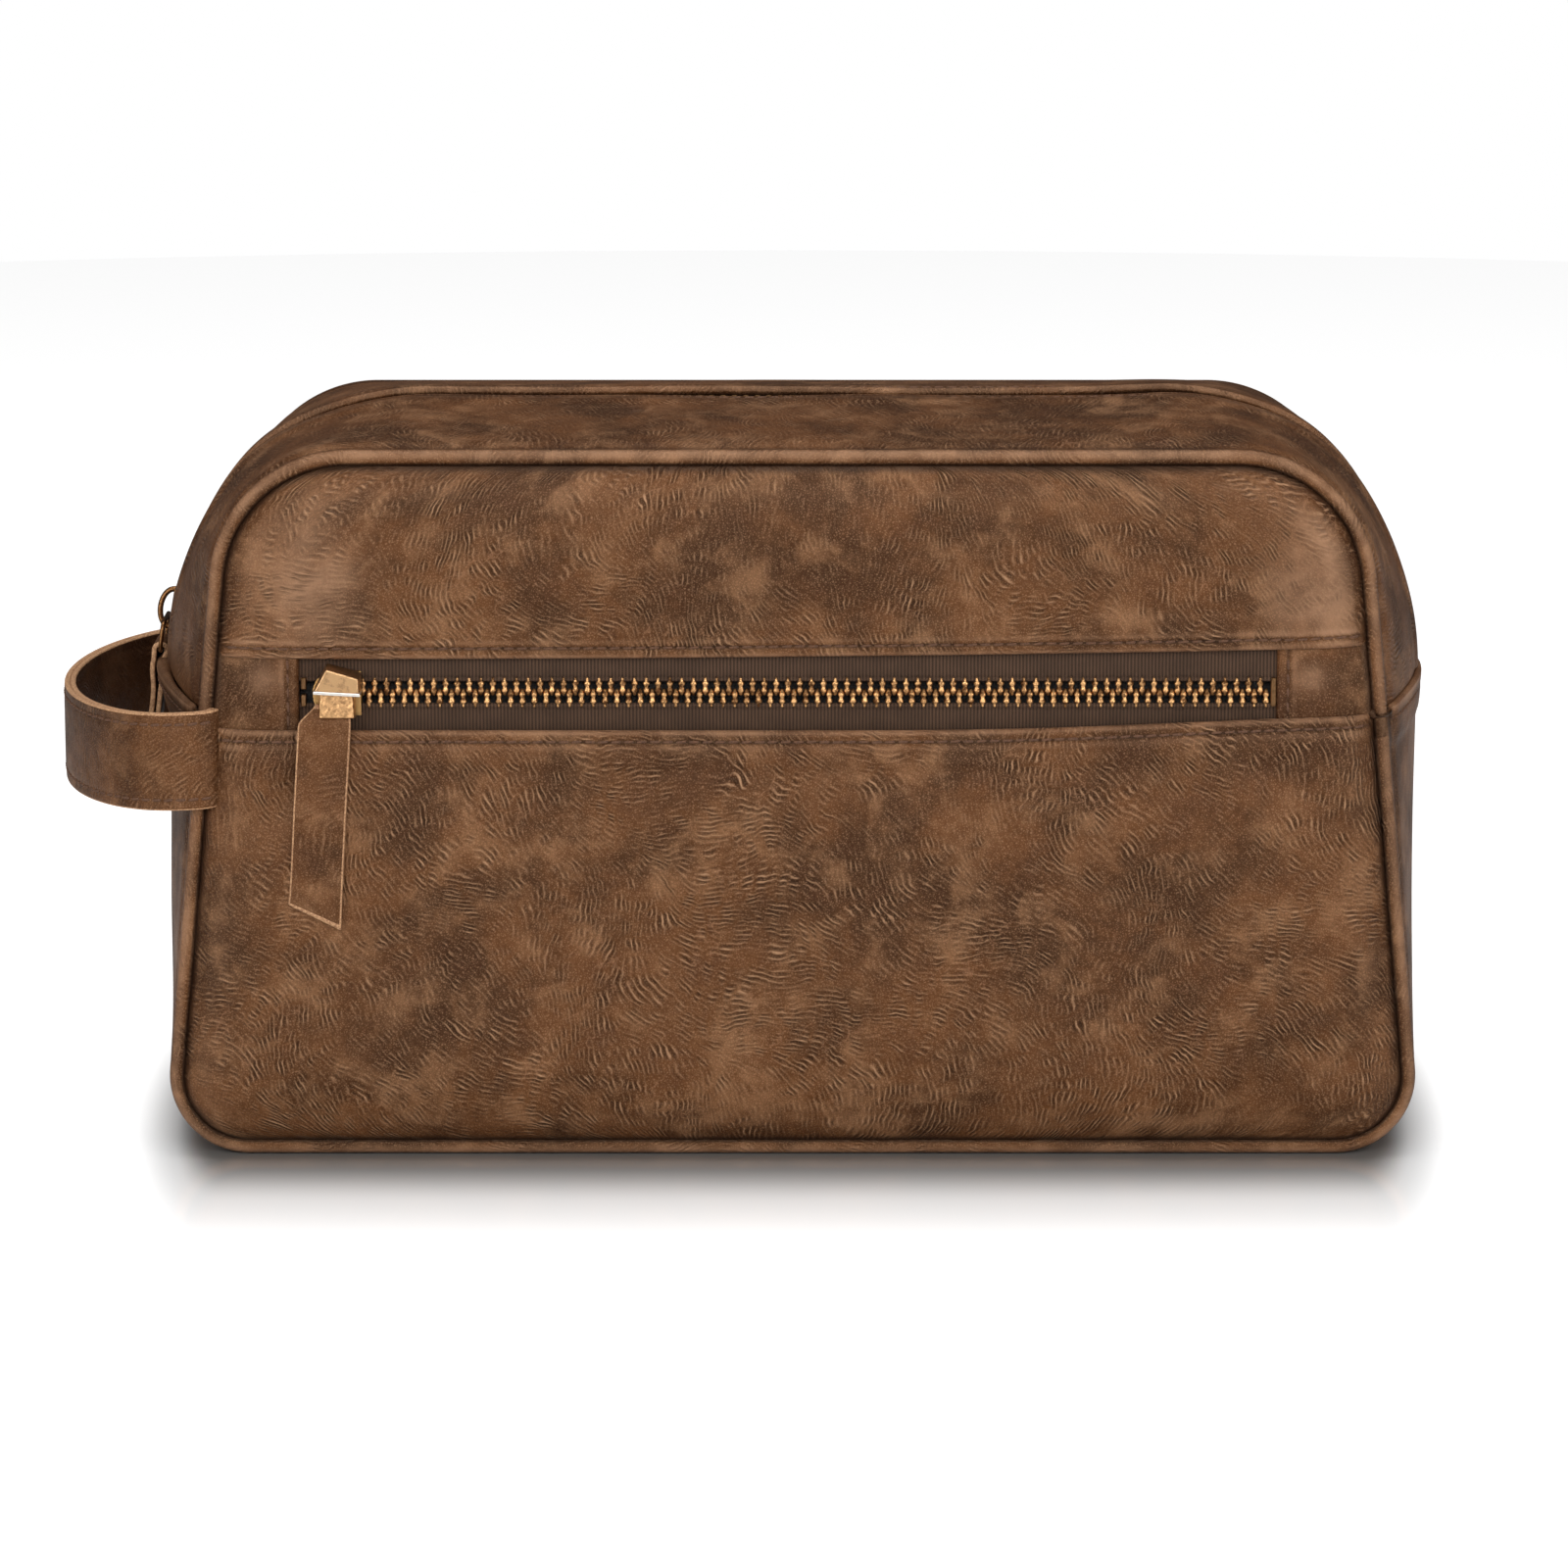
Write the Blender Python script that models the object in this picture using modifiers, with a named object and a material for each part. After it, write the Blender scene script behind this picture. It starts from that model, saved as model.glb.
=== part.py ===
"""Leather shaving kit bag with a zipped main compartment, a zipped front pocket and a side carrying loop.

Frame: +X to the right seen from the front, +Y towards the back, +Z up, origin at the centre of the base.
The front and back panels are sewn to a gusset that runs all the way round. Above the side hems the gusset is
two strips with the main zip between them; below the hems it is one piece, which makes the sides and the base.
A place on the gusset is a station on the panel's seam outline (a point and its outward normal in the XZ
plane), a distance out along that normal, and a depth y. All lengths are metres.
"""

import math

import bmesh
import bpy
from mathutils import Matrix, Vector

OBJECT_NAME = "shaving_kit_bag"
MM = 0.001

# body of the bag
SEAM_TOP = 146.3 * MM  # height of the panel's top seam
SHOULDER_X = 91.5 * MM  # centre of the panel's top corner arcs
SHOULDER_RADIUS = 26.0 * MM
SIDE_SLOPE = math.radians(5.5)  # the sides lean out towards the base
FOOT_RADIUS = 13.5 * MM  # the panel's bottom corner arcs
SEAM_DEPTH = 51.5 * MM  # from the middle of the bag to the front and back seams
PANEL_CROWN = 4.0 * MM  # how far a padded panel stands out from its seam
CROWN_REACH = 12.0 * MM  # distance from the seam at which the panel becomes flat
HEM_Z = 94.3 * MM  # top of the lower gusset, where it meets the zipped strips

# line along the middle of the gusset, where the zip runs
RIDGE_HALF_WIDTH = 133.5 * MM
RIDGE_TOP = 153.9 * MM
RIDGE_SHOULDER_RADIUS = 57.0 * MM
RIDGE_FOOT_RADIUS = 20.0 * MM
RIDGE_FARTHEST = 40.0 * MM  # more than the ridge ever lies outside the seam outline

# sheet materials
LEATHER = 1.2 * MM
LINING = 0.5 * MM
FOAM = 2.5 * MM
BOARD = 1.5 * MM
BINDING = 0.5 * MM
STRAP_PLY = 1.0 * MM
TAPE = 0.5 * MM
POUCH_CLOTH = 0.4 * MM
GAP = 0.3 * MM  # between neighbouring pieces

# turned seam: the two leathers lie face to face and turn inwards at 45 degrees
ROLL_RADIUS = 1.8 * MM  # rounded lip of the gusset beside the seam
SEAM_ALLOWANCE = 6.0 * MM
BINDING_WIDTH = 3.0 * MM

# zip chain, the same size for both zips
TOOTH_PITCH = 2.44 * MM
TOOTH_WIDTH = 0.92 * MM
TOOTH_THICKNESS = 2.0 * MM
TOOTH_REACH = 0.8 * MM  # how far a tooth reaches past the middle of the chain
CORD_INNER = 1.9 * MM
CORD_OUTER = 3.1 * MM
TAPE_HALF_WIDTH = 15.5 * MM
TAPE_OVERRUN = 5.0 * MM  # tape beyond the ends of the pocket's window
MESHED_BEFORE = 2.6 * MM  # the rows start this far before the middle of the closed slider
ZIP_DROP = 1.8 * MM  # middle of the main chain below the gusset's outer surface
ZIP_SLOT = 6.0 * MM  # half width of the gap between the two zipped strips

# zip slider, in its own frame: x along the chain with the nose at -x, y across, z outwards
SLIDER_LENGTH = 11.0 * MM
SLIDER_WIDTH = 8.8 * MM
SLIDER_PLATE = 0.8 * MM
SLIDER_CLEARANCE = 0.5 * MM
SLIDER_LIP_Z = 0.9 * MM  # the plates' rims reach this close to the middle of the chain
SLIDER_POST_LENGTH = 2.1 * MM
SLIDER_POST_HALF_WIDTH = 1.2 * MM
STOP_LENGTH = 1.2 * MM
STOP_PARTING = 0.5 * MM  # from the middle of the chain to each top stop
PIN_RADIUS = 0.6 * MM
JOIN = 0.1 * MM  # overlap of solids that are joined into one

# front pocket
POCKET_X = (-102.0 * MM, 100.0 * MM)  # ends of the zip window
POCKET_Z = (91.8 * MM, 107.0 * MM)  # lower and upper hems of the zip window
POCKET_SLIDER_X = -94.0 * MM
POCKET_BEHIND = 2.2 * MM  # middle of the pocket chain behind the panel's flat face
POUCH_HALF_WIDTH = 104.0 * MM
POUCH_BOTTOM = 24.0 * MM
POUCH_BEHIND = (0.75 * MM, 2.8 * MM)  # its front and back walls, behind the middle of the chain
PULL_WIDTH = 10.7 * MM
PULL_THICKNESS = 1.4 * MM
POCKET_PULL_LENGTH = 45.0 * MM
POCKET_PULL_SLANT = 5.0 * MM  # how much higher the cut end is on its left
POCKET_PULL_LEAN = 2.8 * MM  # sideways drift of the pull over its length
POCKET_PULL_SHIFT = -1.5 * MM  # middle of the pull's top, left of the slider's middle
POCKET_PULL_LIFT = 0.3 * MM  # the strip lies in front of its pin
HEAD_HALF_WIDTH = 3.5 * MM
HEAD_HALF_THICKNESS = 0.35 * MM
HEAD_END = -4.6 * MM  # lower end of the head, below the middle of the chain
HEAD_PIN_HALF = 5.1 * MM
POCKET_PIN = Vector((0.0, -0.5 * MM, 4.1 * MM))  # the pull's pin in the slider's own frame
HOOD_CHEEK_X = (3.9 * MM, 4.9 * MM)
HOOD_CHEEK_Y = (-1.9 * MM, 4.4 * MM)
HOOD_ROOF_Y = (0.75 * MM, 4.6 * MM)
HOOD_ROOF_Z = (5.2 * MM, 6.0 * MM)

# main zip slider and its pull
MAIN_SLIDER_ANGLE = math.radians(10.5)  # above the level of the ridge's shoulder centre
MAIN_PULL_LENGTH = 33.0 * MM
MAIN_PULL_LEAN = math.radians(7.5)
RING_WIRE = 0.55 * MM
RING_DROP = 6.2 * MM
RING_HALF_WIDTH = 6.9 * MM
RING_CORNER = 1.2 * MM
BAIL_HALF_LENGTH = 5.0 * MM
BAIL_HEIGHT = 4.6 * MM
BAIL_BAND = 1.1 * MM
BAIL_WIDTH = 3.0 * MM
MAIN_PIN = Vector((-2.4 * MM, 0.0, 3.6 * MM))  # the ring's wire where it passes through the bail
MAIN_STOP_BEFORE = 8.5 * MM  # from the middle of the closed slider to the top stops
MAIN_CHAIN_SHORT = 1.8 * MM  # the chain ends this far before the level of the side hem

# carrying loop on the left side
HANDLE_Z = 84.5 * MM
HANDLE_WIDTH = 20.5 * MM
HANDLE_ROOT_X = -122.0 * MM
HANDLE_REACH = 34.0 * MM
HANDLE_HALF_DEPTH = 55.4 * MM
HANDLE_PIVOT_OUT = 3.0 * MM  # the loop bends this far outside its root

# padding, lining and base
FOAM_Y = 50.0 * MM
LINING_Y = FOAM_Y - FOAM - GAP
INNER_INSET = 7.0 * MM
LINING_DEPTH = 44.0 * MM
LINING_SLOT = 17.0 * MM
TOP_LINING_DROP = LEATHER + GAP
BASE_LINING_DROP = LEATHER + GAP + BOARD + GAP
BOARD_HALF_SIZE = (98.0 * MM, 42.0 * MM)

LEATHER_BROWN = (0.135, 0.062, 0.032)
LEATHER_DARK = (0.095, 0.045, 0.026)
LINING_BLACK = (0.025, 0.023, 0.022)
TAPE_BROWN = (0.040, 0.026, 0.019)
BRASS = (0.48, 0.31, 0.14)
FOAM_GREY = (0.30, 0.30, 0.29)
BOARD_GREY = (0.16, 0.15, 0.14)

# worked out from the dimensions above
FACE_Y = SEAM_DEPTH + PANEL_CROWN
ROOT_HALF = math.sqrt(0.5)
ROLL_WIDTH = 0.5 * GAP * ROOT_HALF + ROLL_RADIUS * (1.0 + ROOT_HALF)
SEAM_BOTTOM = ROLL_WIDTH  # the rolled lip and the base both reach z = 0
SHOULDER_Z = SEAM_TOP - SHOULDER_RADIUS
FOOT_Z = SEAM_BOTTOM + FOOT_RADIUS
RIDGE_SHOULDER_X = RIDGE_HALF_WIDTH - RIDGE_SHOULDER_RADIUS
RIDGE_SHOULDER = Vector((RIDGE_SHOULDER_X, 0.0, RIDGE_TOP - RIDGE_SHOULDER_RADIUS))
ROLL_BACK_Y = SEAM_DEPTH - 0.5 * GAP * ROOT_HALF - ROLL_RADIUS * ROOT_HALF
POCKET_CHAIN_Y = -(FACE_Y - POCKET_BEHIND)
POCKET_CHAIN_Z = 0.5 * (POCKET_Z[0] + POCKET_Z[1])
CHAIN_RADIUS = RIDGE_SHOULDER_RADIUS - ZIP_DROP
RIDGE_ARC = 0.5 * math.pi * CHAIN_RADIUS
RIDGE_LEVEL = 2.0 * RIDGE_SHOULDER_X
MAIN_CHAIN_END = 2.0 * RIDGE_ARC + RIDGE_LEVEL - MAIN_CHAIN_SHORT
MAIN_SLIDER_ARC = MAIN_SLIDER_ANGLE * CHAIN_RADIUS
SLIDER_INSIDE = 0.5 * TOOTH_THICKNESS + SLIDER_CLEARANCE  # from the chain's middle to a plate


def side_x(z):
    """X of the seam outline on its straight, leaning side."""
    reach = SHOULDER_X * math.cos(SIDE_SLOPE) + SHOULDER_Z * math.sin(SIDE_SLOPE) + SHOULDER_RADIUS
    return (reach - z * math.sin(SIDE_SLOPE)) / math.cos(SIDE_SLOPE)


FOOT_X = side_x(FOOT_Z) - FOOT_RADIUS / math.cos(SIDE_SLOPE)


# ---- scene and materials ----


def clear_scene():
    for item in list(bpy.data.objects):
        bpy.data.objects.remove(item, do_unlink=True)


def new_collection(name):
    collection = bpy.data.collections.new(name)
    bpy.context.scene.collection.children.link(collection)
    return collection


clear_scene()
PARTS = new_collection(OBJECT_NAME)
CUTTERS = new_collection("cutters")


def principled(name, colour, roughness, metallic=0.0):
    material = bpy.data.materials.new(name)
    material.use_nodes = True
    shader = material.node_tree.nodes["Principled BSDF"]
    shader.inputs["Base Color"].default_value = (*colour, 1.0)
    shader.inputs["Roughness"].default_value = roughness
    shader.inputs["Metallic"].default_value = metallic
    return material


def leather(name, colour=LEATHER_BROWN):
    return principled(name, colour, 0.55)


def cloth(name, colour=LINING_BLACK):
    return principled(name, colour, 0.9)


def brass(name):
    return principled(name, BRASS, 0.35, 1.0)


def add_object(name, bm, material=None, collection=None):
    """Turns a bmesh into an object. With no material it is a tool for a Boolean and stays hidden."""
    mesh = bpy.data.meshes.new(name)
    bm.to_mesh(mesh)
    bm.free()
    item = bpy.data.objects.new(name, mesh)
    (collection or PARTS).objects.link(item)
    if material:
        mesh.materials.append(material)
    return item


def thicken(item, thickness, offset=-1.0):
    solidify = item.modifiers.new("thickness", "SOLIDIFY")
    solidify.thickness = thickness
    solidify.offset = offset
    solidify.use_even_offset = True
    solidify.use_quality_normals = True
    return item


def soften(item, width, segments=2):
    bevel = item.modifiers.new("edges", "BEVEL")
    bevel.width = width
    bevel.segments = segments
    bevel.limit_method = "ANGLE"
    return item


def combine(item, other, operation="UNION"):
    """Joins other to item, or cuts it away, and keeps other as a hidden tool."""
    boolean = item.modifiers.new(operation.lower(), "BOOLEAN")
    boolean.operation = operation
    boolean.object = other
    boolean.solver = "EXACT"
    other.hide_render = True
    other.display_type = "WIRE"
    return item


# ---- shapes ----


def mapped_grid(columns, rows, place, closed=False, is_hole=None):
    """A grid primitive whose points are moved to place(column, row).

    closed joins the first and last columns.
    is_hole(i, j) leaves out the cell between columns i, i + 1 and rows j, j + 1.
    """
    bm = bmesh.new()
    stops = list(columns) + ([columns[0]] if closed else [])
    across, along = len(stops) - 1, len(rows) - 1
    bmesh.ops.create_grid(bm, x_segments=across, y_segments=along, size=0.5)
    if is_hole:
        holes = []
        for face in bm.faces:
            middle = face.calc_center_median()
            if is_hole(math.floor((middle.x + 0.5) * across), math.floor((middle.y + 0.5) * along)):
                holes.append(face)
        bmesh.ops.delete(bm, geom=holes, context="FACES")
    for vert in bm.verts:
        column = round((vert.co.x + 0.5) * across)
        row = round((vert.co.y + 0.5) * along)
        vert.co = place(stops[column], rows[row])
    if closed:
        bmesh.ops.remove_doubles(bm, verts=bm.verts, dist=1e-6)
    return bm


def box_mesh(low, high):
    bm = bmesh.new()
    bmesh.ops.create_cube(bm, size=1.0)
    size = Vector(high) - Vector(low)
    middle = 0.5 * (Vector(high) + Vector(low))
    for vert in bm.verts:
        vert.co = Vector(a * b for a, b in zip(vert.co, size)) + middle
    return bm


def rod_mesh(start, end, radius, sides=12):
    """A round rod between two points."""
    bm = bmesh.new()
    axis = Vector(end) - Vector(start)
    middle = 0.5 * (Vector(start) + Vector(end))
    bmesh.ops.create_cone(
        bm, segments=sides, radius1=radius, radius2=radius, depth=axis.length, cap_ends=True, cap_tris=False
    )
    turn = axis.to_track_quat("Z", "Y").to_matrix().to_4x4()
    bmesh.ops.transform(bm, matrix=Matrix.Translation(middle) @ turn, verts=bm.verts)
    return bm


def keep_side(bm, point, direction):
    """Cuts an open surface with a plane and keeps the part on the side the direction points to."""
    geometry = bm.verts[:] + bm.edges[:] + bm.faces[:]
    bmesh.ops.bisect_plane(bm, geom=geometry, dist=1e-7, plane_co=point, plane_no=direction, clear_inner=True)
    return bm


# ---- stations on the seam outline ----


def station(x, z, angle):
    return Vector((x, 0.0, z)), Vector((math.cos(angle), 0.0, math.sin(angle)))


def arc_stations(x, z, radius, first, last, steps):
    stations = []
    for i in range(steps + 1):
        angle = first + (last - first) * i / steps
        stations.append(station(x + radius * math.cos(angle), z + radius * math.sin(angle), angle))
    return stations


def side_station(z):
    return station(side_x(z), z, SIDE_SLOPE)


def upper_half(end_z):
    """The right half of the outline from the end of the level top down to end_z on the side."""
    middle_x = 0.5 * (RIDGE_SHOULDER_X + SHOULDER_X)
    level = [station(x, SEAM_TOP, math.pi / 2) for x in (RIDGE_SHOULDER_X, middle_x)]
    corner = arc_stations(SHOULDER_X, SHOULDER_Z, SHOULDER_RADIUS, math.pi / 2, SIDE_SLOPE, 6)
    steps = 3
    side = [side_station(SHOULDER_Z + (end_z - SHOULDER_Z) * (i + 1) / steps) for i in range(steps)]
    return level + corner + side


def lower_half(start_z):
    """The right half of the outline from start_z on the side down to the end of the level base."""
    side = [side_station(start_z), side_station(0.5 * (start_z + FOOT_Z))]
    return side + arc_stations(FOOT_X, FOOT_Z, FOOT_RADIUS, SIDE_SLOPE, -math.pi / 2, 5)


def mirrored(stations):
    """The same stations on the left side, in reverse order."""
    flipped = [(Vector((-p.x, 0.0, p.z)), Vector((-n.x, 0.0, n.z))) for p, n in stations]
    return flipped[::-1]


def over_the_top(end_z):
    return mirrored(upper_half(end_z)) + upper_half(end_z)


def under_the_base(start_z):
    return lower_half(start_z) + mirrored(lower_half(start_z))


def whole_outline():
    right = upper_half(HEM_Z) + lower_half(HEM_Z)[1:]
    return right + mirrored(right)


# ---- the gusset's surface ----


def ridge_distance(point):
    """Signed distance outside the ridge line, a rectangle with different radii at its shoulders and feet."""
    middle = 0.5 * RIDGE_TOP
    radius = RIDGE_SHOULDER_RADIUS if point.z > middle else RIDGE_FOOT_RADIUS
    dx = abs(point.x) - (RIDGE_HALF_WIDTH - radius)
    dz = abs(point.z - middle) - (middle - radius)
    return math.hypot(max(dx, 0.0), max(dz, 0.0)) + min(max(dx, dz), 0.0) - radius


def ridge_offset(point, normal):
    """How far the ridge line lies outside the seam outline at a station, found by halving."""
    near, far = 0.0, RIDGE_FARTHEST
    for _ in range(40):
        middle = 0.5 * (near + far)
        if ridge_distance(point + normal * middle) < 0.0:
            near = middle
        else:
            far = middle
    return near


def swell(y):
    """Share of the gusset's bulge that is reached at depth y: 0 beside the seams, 1 in the middle."""
    return math.sin(0.5 * math.pi * (1.0 - min(abs(y) / ROLL_BACK_Y, 1.0)))


def wall_row(y, drop=0.0):
    """One line of the gusset: the fixed and the bulging part of its distance from the seam, and its depth."""
    return ROLL_WIDTH - drop, swell(y), y


def turned_row(along, across, side):
    """A line of the seam allowance: along it from the seam inwards, and across it towards the gusset."""
    return (across - along) * ROOT_HALF, 0.0, side * (SEAM_DEPTH - (along + across) * ROOT_HALF)


def on_gusset(place, row):
    point, normal = place
    fixed, share, y = row
    distance = fixed + share * (ridge_offset(point, normal) - ROLL_WIDTH)
    moved = point + normal * distance
    return Vector((moved.x, y, moved.z))


def lip_rows(side):
    """The gusset's turned-in edge and its rounded lip, from the inside of the bag outwards."""
    rows = [turned_row(SEAM_ALLOWANCE, 0.5 * GAP, side)]
    centre_out, _, centre_y = turned_row(0.0, 0.5 * GAP + ROLL_RADIUS, side)
    for degrees in (-135.0, -90.0, -45.0):
        angle = math.radians(degrees)
        out = centre_out + ROLL_RADIUS * math.cos(angle)
        rows.append((out, 0.0, centre_y + side * -ROLL_RADIUS * math.sin(angle)))
    return rows


def gusset_strip(name, stations, rows, thickness, material):
    bm = mapped_grid(stations, rows, on_gusset)
    return thicken(add_object(name, bm, material), thickness)


def top_gusset(name, side):
    """One of the two strips beside the main zip, from its lip to its folded hem."""
    wall = [wall_row(side * share * ROLL_BACK_Y) for share in (1.0, 0.78, 0.55, 0.33)]
    rows = lip_rows(side) + wall + [wall_row(side * ZIP_SLOT)]
    if side > 0:
        rows = rows[::-1]
    return gusset_strip(name, over_the_top(HEM_Z + GAP), rows, LEATHER, leather(name))


def bottom_gusset():
    shares = (1.0, 0.78, 0.55, 0.33, 0.12, -0.12, -0.33, -0.55, -0.78, -1.0)
    wall = [wall_row(-share * ROLL_BACK_Y) for share in shares]
    rows = lip_rows(-1.0) + wall + lip_rows(1.0)[::-1]
    name = "bottom_gusset"
    return gusset_strip(name, under_the_base(HEM_Z), rows, LEATHER, leather(name, LEATHER_DARK))


# ---- front and back panels ----


def crown(inset):
    return PANEL_CROWN * math.sin(0.5 * math.pi * min(inset / CROWN_REACH, 1.0))


def panel_surface(side):
    """A padded panel as an open surface: a flat middle, a rounded border and the turned-in seam allowance."""
    insets = [CROWN_REACH * share for share in (1.0, 0.67, 0.34)]
    rows = [(-inset, 0.0, side * (SEAM_DEPTH + crown(inset))) for inset in insets]
    rows += [turned_row(0.0, -0.5 * GAP, side), turned_row(SEAM_ALLOWANCE, -0.5 * GAP, side)]
    bm = mapped_grid(whole_outline(), rows, on_gusset, closed=True)
    rim = [edge for edge in bm.edges if edge.is_boundary and abs(edge.verts[0].co.y) > FACE_Y - 1e-6]
    middle = bmesh.ops.contextual_create(bm, geom=rim)["faces"][0]
    if middle.normal.y > 0.0:
        middle.normal_flip()
    if side > 0:
        bmesh.ops.reverse_faces(bm, faces=bm.faces)
    return bm


def back_panel():
    name = "back_panel"
    return thicken(add_object(name, panel_surface(1.0), leather(name)), LEATHER)


def front_piece(name, cuts, colour=LEATHER_BROWN):
    """The part of the front panel that lies on the inner side of every cut."""
    bm = panel_surface(-1.0)
    for point, direction in cuts:
        keep_side(bm, point, direction)
    return thicken(add_object(name, bm, leather(name, colour)), LEATHER)


def front_panel():
    low, high = POCKET_Z
    up, down = (0.0, 0.0, 1.0), (0.0, 0.0, -1.0)
    left, right = (-1.0, 0.0, 0.0), (1.0, 0.0, 0.0)
    front_piece("front_upper_panel", [((0.0, 0.0, high), up)])
    front_piece("front_lower_panel", [((0.0, 0.0, low), down)])
    between = [((0.0, 0.0, low + GAP), up), ((0.0, 0.0, high - GAP), down)]
    front_piece("pocket_tab_left", between + [((POCKET_X[0], 0.0, 0.0), left)], LEATHER_DARK)
    front_piece("pocket_tab_right", between + [((POCKET_X[1], 0.0, 0.0), right)], LEATHER_DARK)


def seam_binding(name, side):
    """The cloth tape folded over the raw edges of the seam allowance."""
    across = 0.5 * GAP + LEATHER + GAP + BINDING
    end = SEAM_ALLOWANCE + GAP + BINDING
    start = end - BINDING_WIDTH
    corners = ((start, -across), (end, -across), (end, across), (start, across))
    rows = [turned_row(along, over, side) for along, over in corners]
    if side > 0:
        rows = rows[::-1]
    bm = mapped_grid(whole_outline(), rows, on_gusset, closed=True)
    return thicken(add_object(name, bm, cloth(name)), BINDING, 1.0)


def inner_sheet(name, side, inset, y_outer, thickness, material):
    """A flat sheet behind a panel, following its outline at an inset."""
    outline = [point - normal * inset for point, normal in whole_outline()]
    bm = bmesh.new()
    face = bm.faces.new([bm.verts.new((p.x, side * y_outer, p.z)) for p in outline])
    bm.normal_update()
    if face.normal.y * side < 0.0:
        face.normal_flip()
    return thicken(add_object(name, bm, material), thickness)


# ---- lining, padding and base ----


def padding_and_lining():
    for end, side in (("front", -1.0), ("back", 1.0)):
        foam = principled("foam_" + end, FOAM_GREY, 0.95)
        inner_sheet("foam_" + end, side, INNER_INSET, FOAM_Y, FOAM, foam)
        inner_sheet("lining_" + end, side, INNER_INSET, LINING_Y, LINING, cloth("lining_" + end))
        depths = (LINING_DEPTH, 0.5 * (LINING_DEPTH + LINING_SLOT), LINING_SLOT)
        rows = [wall_row(side * y, TOP_LINING_DROP) for y in depths]
        if side > 0:
            rows = rows[::-1]
        name = "lining_top_" + end
        gusset_strip(name, over_the_top(HEM_Z + GAP), rows, LINING, cloth(name))
        seam_binding("seam_binding_" + end, side)
    shares = (-1.0, -0.6, -0.2, 0.2, 0.6, 1.0)
    rows = [wall_row(share * LINING_DEPTH, BASE_LINING_DROP) for share in shares]
    gusset_strip("lining_base", under_the_base(HEM_Z), rows, LINING, cloth("lining_base"))
    half_x, half_y = BOARD_HALF_SIZE
    low = LEATHER + GAP
    board = box_mesh((-half_x, -half_y, low), (half_x, half_y, low + BOARD))
    add_object("base_board", board, principled("base_board", BOARD_GREY, 0.8))


# ---- zip chains ----


def tooth_edges(start, count, pitch, width):
    """Both sides of every tooth, in order along the chain."""
    return [start + i * pitch + end for i in range(count) for end in (0.0, width)]


def chain_half(name, edges, hand, place):
    """One row of teeth on its cord. hand is the side of the chain's middle that the cord is on."""
    rows = [hand * CORD_OUTER, hand * CORD_INNER, -hand * TOOTH_REACH]
    bm = mapped_grid(edges, rows, place, is_hole=lambda i, j: j == 1 and i % 2 == 1)
    row = thicken(add_object(name, bm, brass(name)), TOOTH_THICKNESS, 0.0)
    merge = row.modifiers.new("flat faces", "DECIMATE")
    merge.decimate_type = "DISSOLVE"
    merge.angle_limit = math.radians(0.3)
    return row


def on_pocket_chain(along, across):
    return Vector((along, POCKET_CHAIN_Y, POCKET_CHAIN_Z + across))


def pocket_zip():
    first = POCKET_SLIDER_X - MESHED_BEFORE
    tail_stop = POCKET_X[1] - STOP_LENGTH
    count = int((tail_stop - GAP - TOOTH_WIDTH - 0.5 * TOOTH_PITCH - first) / TOOTH_PITCH) + 1
    for end, hand in (("upper", 1.0), ("lower", -1.0)):
        start = first + (0.0 if hand > 0 else 0.5 * TOOTH_PITCH)
        edges = tooth_edges(start, count, TOOTH_PITCH, TOOTH_WIDTH)
        chain_half("pocket_teeth_" + end, edges, hand, on_pocket_chain)
        reach = sorted((hand * (CORD_OUTER + GAP), hand * TAPE_HALF_WIDTH))
        low = (POCKET_X[0] - TAPE_OVERRUN, POCKET_CHAIN_Y - 0.5 * TAPE, POCKET_CHAIN_Z + reach[0])
        high = (POCKET_X[1] + TAPE_OVERRUN, POCKET_CHAIN_Y + 0.5 * TAPE, POCKET_CHAIN_Z + reach[1])
        name = "pocket_tape_" + end
        add_object(name, box_mesh(low, high), cloth(name, TAPE_BROWN))
        pocket_stop("pocket_top_stop_" + end, POCKET_X[0] + GAP, hand * STOP_PARTING, hand * CORD_OUTER)
    pocket_stop("pocket_bottom_stop", tail_stop, -CORD_OUTER, CORD_OUTER)


def pocket_stop(name, start, *across):
    half = 0.5 * TOOTH_THICKNESS
    low = (start, POCKET_CHAIN_Y - half, POCKET_CHAIN_Z + min(across))
    high = (start + STOP_LENGTH, POCKET_CHAIN_Y + half, POCKET_CHAIN_Z + max(across))
    return soften(add_object(name, box_mesh(low, high), brass(name)), 0.2 * MM, 1)


def pocket_pouch():
    """The pocket's bag: one cloth folded at the bottom, hanging behind the lower panel."""
    front_y, back_y = (POCKET_CHAIN_Y + behind for behind in POUCH_BEHIND)
    middle_y = 0.5 * (front_y + back_y)
    radius = 0.5 * (back_y - front_y)
    path = [(front_y, POCKET_Z[0] - GAP)]
    for i in range(7):
        angle = math.pi + math.pi * i / 6
        path.append((middle_y + radius * math.cos(angle), POUCH_BOTTOM + radius * math.sin(angle)))
    path.append((back_y, POCKET_CHAIN_Z + TAPE_HALF_WIDTH))
    ends = (-POUCH_HALF_WIDTH, POUCH_HALF_WIDTH)
    bm = mapped_grid(ends, path, lambda x, p: Vector((x, p[0], p[1])))
    return thicken(add_object("pocket_pouch", bm, cloth("pocket_pouch")), POUCH_CLOTH, 0.0)


# ---- main zip ----


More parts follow.
